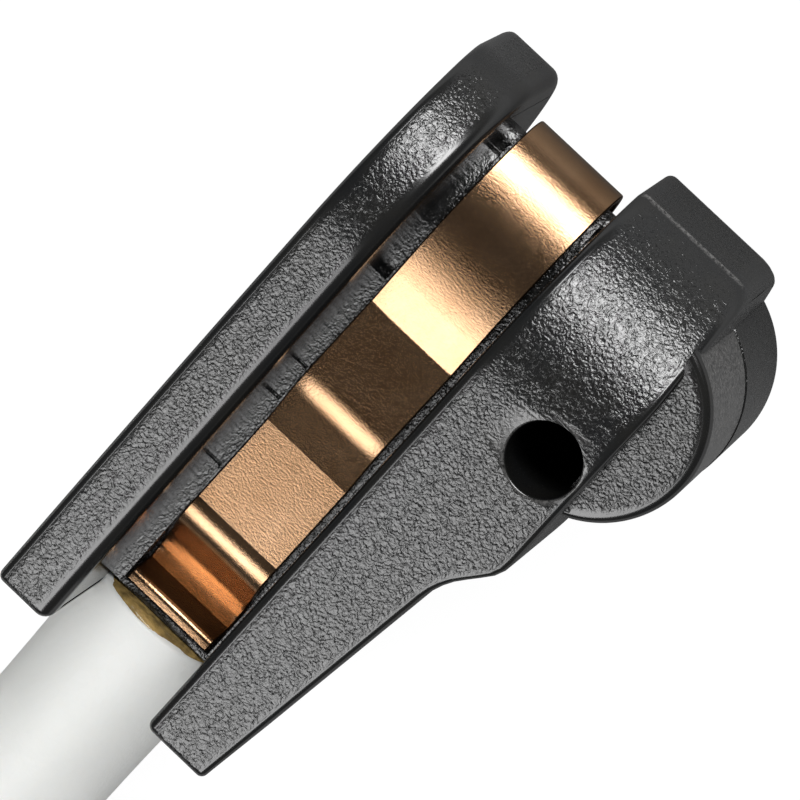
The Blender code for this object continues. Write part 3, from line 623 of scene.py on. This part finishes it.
def build_head():
    plain = wing(
        "plain_wing",
        PLAIN_WING_START,
        PLAIN_WING_END,
        PLAIN_FACE_Y,
        1,
        plain_wing_depth,
        PLAIN_WING_SLOT_ROUND,
        PLAIN_WING_OUTER_ROUND,
        PLAIN_WING_NOSE,
    )
    tip_side = wing(
        "tip_wing",
        TIP_WING_START,
        HEAD_LENGTH,
        TIP_FACE_Y,
        -1,
        tip_wing_depth,
        TIP_WING_SLOT_ROUND,
        TIP_WING_OUTER_ROUND,
        TIP_WING_NOSE,
    )
    cut_hole(tip_side)
    clip_low = CLIP_Y - CLIP_WIDTH / 2 - CLIP_SIDE_GAP
    clip_high = CLIP_Y + CLIP_WIDTH / 2 + CLIP_SIDE_GAP
    in_wing = 0.0003
    rail_low = side_slab("rail_low", RAIL_LINE, TIP_FACE_Y - in_wing, clip_low)
    rail_high = side_slab("rail_high", RAIL_LINE, clip_high, PLAIN_FACE_Y + in_wing)
    bed = side_slab("clip_bed", BED_LINE, clip_low - 0.0001, clip_high + 0.0001)
    head = join_pieces("head_moulding", [plain, tip_side, wear_tip(), rail_low, rail_high, bed])
    head.data.shade_smooth()
    head.data.set_sharp_from_angle(angle=math.radians(38))
    even_normals(head)
    grain = head.data.attributes.new("grain", "FLOAT", "POINT")
    # The pale marks: painted highlights on the hole's mouth and the nose's edge, and the tip's
    # paler band.
    painted_highlights_and_pale_band = head.data.attributes.new("painted_highlights_and_pale_band", "FLOAT", "POINT")
    for vertex, mark, paleness in zip(head.data.vertices, grain.data, painted_highlights_and_pale_band.data):
        mark.value = head_grain(vertex.co)
        paleness.value = head_highlights_and_pale_band(vertex.co)
    return head


# Spring clip, as its mid-surface from the side: (distance, height, bend radius)
CLIP_LINE = [
    (0.00160, 0.00214),
    (0.00188, 0.00212, 0.00012),
    (0.00217, 0.00080, 0.00010),
    (0.00290, 0.00101, 0.0020),
    (0.00360, 0.00130, 0.0014),
    (0.00515, 0.00304, 0.00100),
    (0.00584, 0.00274, 0.00020),
    (0.00960, 0.00246, 0.00012),
    (0.01178, 0.00340, 0.0017),
    (0.0154, 0.00279, 0.0004),
]
CLIP_NOSE = (0.0175, 0.02317, 0.0030, 0.0167)  # centre, tip, half depth, and where it joins
CLIP_NOSE_STEPS = 48


def clip_line():
    """The clip's mid-surface from the side, over one leg, round the nose and back."""
    centre, tip, half_depth, join = CLIP_NOSE
    reach = tip - centre
    start = math.acos((join - centre) / reach)
    turns = [start * (1 - i / CLIP_NOSE_STEPS) for i in range(CLIP_NOSE_STEPS + 1)]
    nose = [(centre + reach * math.cos(a), half_depth * math.sin(a), 0) for a in turns]
    upper = softened(CLIP_LINE + nose, 9)
    lower = [Vector((p.x, -p.y)) for p in reversed(upper[:-1])]
    return upper + lower


def build_clip():
    line = clip_line()
    half_width = CLIP_WIDTH / 2
    half_thickness = CLIP_THICKNESS / 2
    edge = CLIP_EDGE
    section = []
    for side, first in ((1, 0), (1, 1), (-1, 2), (-1, 3)):
        across = 1 if first in (0, 3) else -1
        centre = Vector((across * (half_width - edge), side * (half_thickness - edge)))
        for step in range(4):
            turn = math.pi / 2 * (first + step / 3)
            section.append(centre + edge * Vector((math.cos(turn), math.sin(turn))))
    loops = []
    for i, here in enumerate(line):
        before = line[max(i - 1, 0)]
        after = line[min(i + 1, len(line) - 1)]
        run = (after - before).normalized()
        outward = Vector((-run.y, run.x))
        loops.append(
            [
                Vector(
                    (
                        along(here.x + outward.x * s.y),
                        CLIP_Y + s.x,
                        HALF_DEPTH + here.y + outward.y * s.y,
                    )
                )
                for s in section
            ]
        )
    clip = mesh_piece("spring_strip", *loft(loops))
    clean_surface(clip, 50)
    even_normals(clip)
    return clip


# Cable
def smooth_route(points, spacing):
    """Evenly spaced points on a smooth curve through the route's points."""
    padded = [2 * points[0] - points[1], *points, 2 * points[-1] - points[-2]]
    fine = []
    for a, b, c, d in zip(padded, padded[1:], padded[2:], padded[3:]):
        for step in range(24):
            t = step / 24
            fine.append(
                0.5 * (2 * b + (c - a) * t + (2 * a - 5 * b + 4 * c - d) * t**2
                       + (3 * b - a - 3 * c + d) * t**3)
            )
    fine.append(points[-1])
    total = sum((q - p).length for p, q in zip(fine, fine[1:]))
    count = max(2, round(total / spacing))
    even = [fine[0]]
    travelled = 0.0
    for p, q in zip(fine, fine[1:]):
        travelled += (q - p).length
        while travelled >= total * len(even) / count - 1e-9 and len(even) < count:
            even.append(q)
    even.append(fine[-1])
    return even


def eased(value, start, end):
    """A smooth step from 0 at start to 1 at end."""
    share = clamped((value - start) / (end - start))
    return share * share * (3 - 2 * share)


def wound_point(angle):
    """The cable's centre at this wound angle: inwards by turns, then over them to the plug."""
    inward = COIL_OUTER - COIL_PITCH * angle / (2 * math.pi)
    outward = eased(angle, *OUTWARD)
    radius = inward * (1 - outward) + TAIL_RADIUS * outward
    rise = eased(angle, *CLIMB) * (OVER_COIL_Z - CABLE_RADIUS)
    rise += eased(angle, TAIL_START, TAIL_END) * (PLUG_Z - OVER_COIL_Z)
    bearing = -math.pi / 2 - angle
    return COIL_CENTRE + Vector(
        (radius * math.cos(bearing), radius * math.sin(bearing), CABLE_RADIUS + rise)
    )


def cable_line():
    exit_point = Vector((along(CABLE_END), CABLE_Y, HALF_DEPTH))
    route = [exit_point + Vector((-run, side, -drop)) for run, side, drop in CABLE_ROUTE]
    line = smooth_route(route, 0.0012)
    turns = round(TAIL_END / (2 * math.pi) * 72)
    line += [wound_point(TAIL_END * i / turns) for i in range(1, turns + 1)]
    ahead = wound_point(TAIL_END + 0.01) - line[-1]
    ahead.z = 0
    ahead.normalize()
    last = line[-1]
    line += [last + ahead * SLEEVE_IN_BOOT * i / 4 for i in range(1, 5)]
    return line


def tube(name, line, radii, sides=40):
    """A round tube along a line, with a radius at each point and soft ends."""
    normal = None
    loops = []
    for i, here in enumerate(line):
        before = line[max(i - 1, 0)]
        after = line[min(i + 1, len(line) - 1)]
        run = (after - before).normalized()
        if normal is None:
            normal = run.orthogonal().normalized()
        normal = (normal - run * normal.dot(run)).normalized()
        other = run.cross(normal)
        loops.append(
            [
                here + radii[i] * (math.cos(a) * normal + math.sin(a) * other)
                for a in (2 * math.pi * s / sides for s in range(sides))
            ]
        )
    piece = mesh_piece(name, *loft(loops))
    clean_surface(piece, 50)
    return piece


def build_cable():
    line = cable_line()
    run = 0.0
    radii = []
    for i, here in enumerate(line):
        if i:
            run += (here - line[i - 1]).length
        swell = SLEEVE_SWELL * math.exp(-((run / SLEEVE_SWELL_RUN) ** 2))
        radii.append(CABLE_RADIUS + 0.00002 + swell)
    # The sleeve's cut end is a little rounded,
    first, second = line[0], line[1]
    inner = [first, first.lerp(second, 0.06), first.lerp(second, 0.16)]
    line = inner + line[1:]
    radii = [radii[0] - 0.00022, radii[0] - 0.00007, radii[0]] + radii[1:]
    # and is seated in the head, past the point where the free cable begins
    seated = [p + Vector((SLEEVE_SEAT, 0, 0)) for p in line[:3]] + line[2:]
    cable = tube("sleeved_cable", seated, radii[:3] + radii[2:])
    length = sum((b - a).length for a, b in zip(line, line[1:]))
    return cable, line, length


def build_adhesive():
    """The uneven ring of adhesive round the cable's cut end."""
    chance = random.Random(4)
    sides = 96
    waves = [(chance.uniform(0, 6.28), chance.choice((2, 3, 5, 8, 13))) for _ in range(7)]
    profile = [
        (0.00070, 0.0019),
        (0.00074, 0.00276),
        (0.00088, 0.00290),
        (0.00100, 0.00290),
        (0.00108, 0.00278),
        (0.00112, 0.00256),
        (0.00114, 0.0019),
    ]
    loops = []
    for index, (distance, radius) in enumerate(profile):
        loop = []
        for s in range(sides):
            a = 2 * math.pi * s / sides
            wave = sum(math.sin(a * n + p + index * 0.5) for p, n in waves) / len(waves)
            edge_share = 1 if 0 < index < len(profile) - 1 else 0
            r = radius + 0.00006 * wave * edge_share
            x = distance + 0.00005 * math.sin(a * 5 + waves[0][0]) * edge_share
            loop.append(
                Vector((along(x), CABLE_Y + r * math.cos(a), HALF_DEPTH + r * math.sin(a)))
            )
        loops.append(loop)
    ring = mesh_piece("adhesive_ring", *loft(loops))
    clean_surface(ring, 60)
    return ring


# Materials
def add_node(tree, kind, inputs=(), **settings):
    """A node with its settings, and each input given a value or a link."""
    made = tree.nodes.new(kind)
    for name, value in settings.items():
        setattr(made, name, value)
    for socket, value in dict(inputs).items():
        if isinstance(value, bpy.types.NodeSocket):
            tree.links.new(value, made.inputs[socket])
        else:
            made.inputs[socket].default_value = value
    return made


def larger(tree, one, other):
    return add_node(tree, "ShaderNodeMath", {0: one, 1: other}, operation="MAXIMUM").outputs[0]


def multiplied(tree, value, factor):
    return add_node(tree, "ShaderNodeMath", {0: value, 1: factor}, operation="MULTIPLY").outputs[0]


def mapped(tree, value, start, end, low=0.0, high=1.0):
    """A number that goes from low to high as the value goes from start to end."""
    made = add_node(
        tree,
        "ShaderNodeMapRange",
        {"Value": value, "From Min": start, "From Max": end, "To Min": low, "To Max": high},
    )
    return made.outputs["Result"]


def mixed_colour(tree, share, colour, other):
    made = add_node(
        tree, "ShaderNodeMix", {"Factor": share, 6: colour, 7: other}, data_type="RGBA"
    )
    return made.outputs[2]


def node_group(name, inputs, outputs):
    """An empty group with its sockets, and its input and output nodes."""
    group = bpy.data.node_groups.new(name, "ShaderNodeTree")
    for socket, kind, value in inputs:
        made = group.interface.new_socket(socket, in_out="INPUT", socket_type=kind)
        made.default_value = value
    for socket, kind in outputs:
        group.interface.new_socket(socket, in_out="OUTPUT", socket_type=kind)
    return group, group.nodes.new("NodeGroupInput"), group.nodes.new("NodeGroupOutput")


def millimetres(tree, scale=(1, 1, 1)):
    """Object coordinates in millimetres, stretched by scale."""
    place = add_node(tree, "ShaderNodeTexCoord")
    return add_node(
        tree,
        "ShaderNodeMapping",
        {"Vector": place.outputs["Object"], "Scale": tuple(1000 * s for s in scale)},
    ).outputs["Vector"]


def make_spark_grain():
    """The pebbled surface that a spark-eroded mould leaves on plastic."""
    group, given, result = node_group(
        "spark eroded grain",
        [("Per millimetre", "NodeSocketFloat", 6.0), ("Wander", "NodeSocketFloat", 0.35)],
        [("Height", "NodeSocketFloat"), ("Pits", "NodeSocketFloat")],
    )
    place = millimetres(group)
    drift = add_node(group, "ShaderNodeTexNoise", {"Vector": place, "Scale": 3.0, "Detail": 2.0})
    shifted = add_node(
        group,
        "ShaderNodeVectorMath",
        {0: drift.outputs["Color"], 1: (0.5, 0.5, 0.5)},
        operation="SUBTRACT",
    )
    shift = add_node(
        group,
        "ShaderNodeVectorMath",
        {0: shifted.outputs["Vector"], "Scale": given.outputs["Wander"]},
        operation="SCALE",
    )
    moved = add_node(
        group, "ShaderNodeVectorMath", {0: place, 1: shift.outputs["Vector"]}, operation="ADD"
    )
    cells = add_node(
        group,
        "ShaderNodeTexVoronoi",
        {
            "Vector": moved.outputs["Vector"],
            "Scale": given.outputs["Per millimetre"],
            "Smoothness": 0.7,
        },
        feature="SMOOTH_F1",
    )
    fine = add_node(
        group,
        "ShaderNodeTexNoise",
        {
            "Vector": moved.outputs["Vector"],
            "Scale": given.outputs["Per millimetre"],
            "Detail": 3.0,
            "Roughness": 0.55,
        },
    )
    both = add_node(
        group,
        "ShaderNodeMath",
        {0: cells.outputs["Distance"], 1: fine.outputs["Fac"]},
        operation="ADD",
    )
    group.links.new(both.outputs[0], result.inputs["Height"])
    group.links.new(mapped(group, fine.outputs["Fac"], 0.35, 0.65), result.inputs["Pits"])
    return group


def make_colour_drift():
    """A slow change between two colours, for what handling and age leave."""
    group, given, result = node_group(
        "colour drift",
        [
            ("Colour", "NodeSocketColor", (0.5, 0.5, 0.5, 1)),
            ("Other colour", "NodeSocketColor", (0.4, 0.4, 0.4, 1)),
            ("Per millimetre", "NodeSocketFloat", 0.5),
            ("Amount", "NodeSocketFloat", 0.5),
        ],
        [("Colour", "NodeSocketColor"), ("Share", "NodeSocketFloat")],
    )
    cloud = add_node(
        group,
        "ShaderNodeTexNoise",
        {
            "Vector": millimetres(group),
            "Scale": given.outputs["Per millimetre"],
            "Detail": 5.0,
            "Roughness": 0.6,
        },
    )
    share = mapped(group, cloud.outputs["Fac"], 0.35, 0.68)
    amount = multiplied(group, share, given.outputs["Amount"])
    mixed = mixed_colour(group, amount, given.outputs["Colour"], given.outputs["Other colour"])
    group.links.new(mixed, result.inputs["Colour"])
    group.links.new(amount, result.inputs["Share"])
    return group


SPARK_GRAIN = make_spark_grain()
COLOUR_DRIFT = make_colour_drift()


def new_material(name):
    made = bpy.data.materials.new(name)
    made.use_nodes = True
    return made, made.node_tree, made.node_tree.nodes["Principled BSDF"]


def drift_node(tree, colour, other, per_millimetre, amount):
    made = add_node(tree, "ShaderNodeGroup", node_tree=COLOUR_DRIFT)
    made.inputs["Colour"].default_value = (*colour, 1)
    made.inputs["Other colour"].default_value = (*other, 1)
    made.inputs["Per millimetre"].default_value = per_millimetre
    made.inputs["Amount"].default_value = amount
    return made


def varied(tree, value, low, high):
    """A number from low to high that follows a 0 to 1 value."""
    return mapped(tree, value, 0.0, 1.0, low, high)


def fine_noise(tree, scale, detail, roughness=0.5, stretch=(1, 1, 1)):
    """Small even noise, with scale as its size per millimetre."""
    made = add_node(
        tree,
        "ShaderNodeTexNoise",
        {
            "Vector": millimetres(tree, stretch),
            "Scale": scale,
            "Detail": detail,
            "Roughness": roughness,
        },
    )
    return made.outputs["Fac"]


def add_bump(tree, shader, depth, height):
    bump = add_node(tree, "ShaderNodeBump", {"Strength": 1.0, "Distance": depth, "Height": height})
    tree.links.new(bump.outputs["Normal"], shader.inputs["Normal"])


def make_black_plastic(name, per_millimetre, depth, masked):
    """Black moulded plastic. Masked, it is grained by the mesh's mark, and paler by a second mark:
    painted highlights on the hole's mouth and the nose's edge, and the tip's band.
    """
    made, tree, shader = new_material(name)
    shader.inputs["Specular IOR Level"].default_value = 0.95
    colour = drift_node(tree, (0.0085, 0.0090, 0.0095), (0.013, 0.0125, 0.011), 0.6, 0.8)
    base = colour.outputs["Colour"]
    grain = add_node(tree, "ShaderNodeGroup", node_tree=SPARK_GRAIN)
    grain.inputs["Per millimetre"].default_value = per_millimetre
    height = grain.outputs["Height"]
    roughness = varied(tree, grain.outputs["Pits"], 0.16, 0.30)
    if masked:
        mask = add_node(tree, "ShaderNodeAttribute", attribute_name="grain").outputs["Fac"]
        height = multiplied(tree, height, mask)
        roughness = add_node(
            tree, "ShaderNodeMix", {"Factor": mask, 2: 0.20, 3: roughness}, data_type="FLOAT"
        ).outputs[0]
        # Painted highlights: the hole's mouth and the nose's edge, and the upper half of the tip's
        # band, are mixed towards a pale grey.
        painted_highlights_and_pale_band = add_node(tree, "ShaderNodeAttribute", attribute_name="painted_highlights_and_pale_band").outputs["Fac"]
        lightened = multiplied(tree, painted_highlights_and_pale_band, grain.outputs["Pits"])
        base = mixed_colour(tree, lightened, base, (0.20, 0.195, 0.19, 1))
    tree.links.new(base, shader.inputs["Base Color"])
    tree.links.new(roughness, shader.inputs["Roughness"])
    add_bump(tree, shader, depth, height)
    return made


def make_spring_copper():
    made, tree, shader = new_material("rolled copper alloy")
    colour = drift_node(tree, (0.44, 0.275, 0.160), (0.33, 0.185, 0.095), 0.35, 0.6)
    tree.links.new(colour.outputs["Colour"], shader.inputs["Base Color"])
    shader.inputs["Metallic"].default_value = 1.0
    speckle = fine_noise(tree, 13.0, 4.0, 0.65, (1, 0.7, 1))
    tree.links.new(varied(tree, speckle, 0.13, 0.29), shader.inputs["Roughness"])
    add_bump(tree, shader, 0.000008, speckle)
    return made


def make_tinned():
    made, tree, shader = new_material("tinned copper")
    colour = drift_node(tree, (0.72, 0.69, 0.64), (0.55, 0.50, 0.42), 1.5, 0.5)
    tree.links.new(colour.outputs["Colour"], shader.inputs["Base Color"])
    shader.inputs["Metallic"].default_value = 1.0
    tree.links.new(varied(tree, colour.outputs["Share"], 0.25, 0.45), shader.inputs["Roughness"])
    return made


def make_sleeve():
    made, tree, shader = new_material("white silicone sleeve")
    colour = drift_node(tree, (0.84, 0.845, 0.82), (0.79, 0.80, 0.77), 0.25, 0.5)
    tree.links.new(colour.outputs["Colour"], shader.inputs["Base Color"])
    shader.inputs["Subsurface Weight"].default_value = 0.25
    shader.inputs["Subsurface Radius"].default_value = (1.0, 0.9, 0.8)
    shader.inputs["Subsurface Scale"].default_value = 0.0012
    fine = fine_noise(tree, 2.5, 4.0, 0.6)
    tree.links.new(varied(tree, fine, 0.38, 0.55), shader.inputs["Roughness"])
    add_bump(tree, shader, 0.00003, fine)
    return made


def make_adhesive():
    made, tree, shader = new_material("amber adhesive")
    colour = drift_node(tree, (0.42, 0.29, 0.10), (0.10, 0.07, 0.03), 1.8, 0.9)
    tree.links.new(colour.outputs["Colour"], shader.inputs["Base Color"])
    shader.inputs["Roughness"].default_value = 0.22
    shader.inputs["Coat Weight"].default_value = 0.4
    add_bump(tree, shader, 0.00010, fine_noise(tree, 3.0, 4.0))
    return made


def make_soft(name, colour, other, roughness):
    """Rubber and wire insulation: a slow colour drift and a fine dull surface."""
    made, tree, shader = new_material(name)
    drift = drift_node(tree, colour, other, 0.9, 0.6)
    tree.links.new(drift.outputs["Colour"], shader.inputs["Base Color"])
    fine = fine_noise(tree, 7.0, 3.0)
    tree.links.new(varied(tree, fine, *roughness), shader.inputs["Roughness"])
    add_bump(tree, shader, 0.00001, fine)
    return made


HEAD_PLASTIC = make_black_plastic("grained black plastic", 8.5, 0.000020, True)
PLUG_PLASTIC = make_black_plastic("fine black plastic", 9.0, 0.000014, False)
SPRING_COPPER = make_spring_copper()
TINNED = make_tinned()
SLEEVE = make_sleeve()
ADHESIVE = make_adhesive()
SEAL_RUBBER = make_soft("seal rubber", (0.045, 0.045, 0.05), (0.07, 0.07, 0.07), (0.55, 0.75))
INSULATION = make_soft("wire insulation", (0.50, 0.30, 0.10), (0.42, 0.24, 0.08), (0.35, 0.5))


def place_piece(piece, look, slot, *nodes):
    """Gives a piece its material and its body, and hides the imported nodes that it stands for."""
    piece.data.materials.clear()
    piece.data.materials.append(look)
    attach(piece, "root")
    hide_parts(*nodes)


# The pieces
cable, cable_points, cable_length = build_cable()
place_piece(cable, SLEEVE, "white_silicone", "cable_lead", "cable_coil", "cable_tail")
place_piece(build_head(), HEAD_PLASTIC, "black_plastic", "sensor_housing")
place_piece(build_clip(), SPRING_COPPER, "copper_alloy", "spring_clip")
place_piece(build_adhesive(), ADHESIVE, "adhesive", "adhesive_bead")

NODE_LOOKS = {
    "contact_loop": TINNED,
    "crimp_sleeve_1": TINNED,
    "crimp_sleeve_2": TINNED,
    "lead_wire_1": INSULATION,
    "lead_wire_2": INSULATION,
    "plug_boot": SEAL_RUBBER,
    "plug_housing": PLUG_PLASTIC,
    "plug_lock": INSULATION,
    "plug_seal": SEAL_RUBBER,
    "plug_terminal_1": TINNED,
    "plug_terminal_2": TINNED,
    "plug_wire_1": INSULATION,
    "plug_wire_2": INSULATION,
    "plug_wire_seal_1": SEAL_RUBBER,
    "plug_wire_seal_2": SEAL_RUBBER,
}
for node_name, look in NODE_LOOKS.items():
    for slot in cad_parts[node_name].material_slots:
        slot.material = look

# Floor and light
bpy.context.scene.view_settings.view_transform = "Standard"

FLOOR_REACH = 3
FLOOR_GLOW = 1.08  # just over white, so that the floor is clean white away from the shadow
FLOOR_SEEN_WHITE = 0.88  # what the camera sees of the floor is otherwise lit, with the shadow
FLOOR_MIRRORED_WHITE = 0.3
# Painted shadow: round the head, the floor is dark in mirrored rays, seen only in reflections.
FLOOR_DARK_TO = 0.012  # near the head, mirrored rays find the floor dark
FLOOR_WHITE_FROM = 0.05

floor = mesh_piece(
    "floor",
    [(FLOOR_REACH * x, FLOOR_REACH * y, 0) for x, y in ((-1, -1), (1, -1), (1, 1), (-1, 1))],
    [(0, 1, 2, 3)],
)
floor_look = bpy.data.materials.new("white floor")
floor_look.use_nodes = True
floor_tree = floor_look.node_tree
floor_tree.nodes.clear()
floor_out = add_node(floor_tree, "ShaderNodeOutputMaterial")
lit = add_node(floor_tree, "ShaderNodeBsdfDiffuse")
white = add_node(
    floor_tree, "ShaderNodeEmission", {"Color": (1, 1, 1, 1), "Strength": FLOOR_GLOW}
)
floor_rays = add_node(floor_tree, "ShaderNodeLightPath").outputs
floor_place = add_node(floor_tree, "ShaderNodeTexCoord").outputs["Object"]
from_head = add_node(
    floor_tree, "ShaderNodeVectorMath", {0: floor_place}, operation="LENGTH"
).outputs["Value"]
# A painted shadow round the head, which only reflections see.
mirrored_white = mapped(
    floor_tree, from_head, FLOOR_DARK_TO, FLOOR_WHITE_FROM, 0.0, FLOOR_MIRRORED_WHITE
)
mirrored = larger(floor_tree, floor_rays["Is Glossy Ray"], floor_rays["Is Transmission Ray"])
# Painted shade in reflections: mirrored rays see the lit floor at 0.20 instead of 0.85.
floor_tree.links.new(varied(floor_tree, mirrored, 0.85, 0.20), lit.inputs["Color"])
white_share = larger(
    floor_tree,
    multiplied(floor_tree, floor_rays["Is Camera Ray"], FLOOR_SEEN_WHITE),
    multiplied(floor_tree, mirrored, mirrored_white),
)
blend = add_node(
    floor_tree, "ShaderNodeMixShader", {0: white_share, 1: lit.outputs[0], 2: white.outputs[0]}
)
floor_tree.links.new(blend.outputs[0], floor_out.inputs["Surface"])
floor.data.materials.append(floor_look)

world = bpy.data.worlds.new("pale studio")
bpy.context.scene.world = world
world.use_nodes = True
world_tree = world.node_tree
world_tree.nodes.clear()
world_out = add_node(world_tree, "ShaderNodeOutputWorld")
direction = add_node(world_tree, "ShaderNodeTexCoord")
rise = add_node(
    world_tree, "ShaderNodeSeparateXYZ", {"Vector": direction.outputs["Generated"]}
).outputs["Z"]
low_wall = mapped(world_tree, rise, 0.0, 0.2, 0.15, 0.0)
world_rays = add_node(world_tree, "ShaderNodeLightPath").outputs
background_share = larger(
    world_tree,
    world_rays["Is Camera Ray"],
    multiplied(
        world_tree,
        larger(world_tree, world_rays["Is Glossy Ray"], world_rays["Is Transmission Ray"]),
        low_wall,
    ),
)
room_strength = varied(world_tree, world_rays["Is Glossy Ray"], 0.20, 0.05)
room_light = add_node(
    world_tree,
    "ShaderNodeBackground",
    {"Color": (0.97, 0.98, 1.0, 1), "Strength": room_strength},
)
white_wall = add_node(
    world_tree, "ShaderNodeBackground", {"Color": (1, 1, 1, 1), "Strength": 1.0}
)
world_mix = add_node(
    world_tree,
    "ShaderNodeMixShader",
    {0: background_share, 1: room_light.outputs[0], 2: white_wall.outputs[0]},
)
world_tree.links.new(world_mix.outputs[0], world_out.inputs["Surface"])


SOFTBOX_DISTANCE = 0.40
SOFTBOX_TARGET = Vector((0, 0.002, 0.010))


def softbox(name, lean, size_x, size_y, power):
    """A rectangular lamp that faces the head: lean is its angle from straight up towards +X."""
    lamp_data = bpy.data.lights.new(name, "AREA")
    lamp_data.shape = "RECTANGLE"
    lamp_data.size = size_x
    lamp_data.size_y = size_y
    lamp_data.energy = power
    lamp = bpy.data.objects.new(name, lamp_data)
    bpy.context.scene.collection.objects.link(lamp)
    lean = math.radians(lean)
    away = Vector((math.sin(lean), 0, math.cos(lean)))
    lamp.location = SOFTBOX_TARGET + away * SOFTBOX_DISTANCE
    x_side = Vector((math.cos(lean), 0, -math.sin(lean)))
    y_side = away.cross(x_side)
    lamp.rotation_euler = Matrix((x_side, y_side, away)).transposed().to_euler()


softbox("nose_softbox", 52, 0.15, 0.22, 1.20)
softbox("cable_softbox", -33.5, 0.235, 0.24, 0.84)
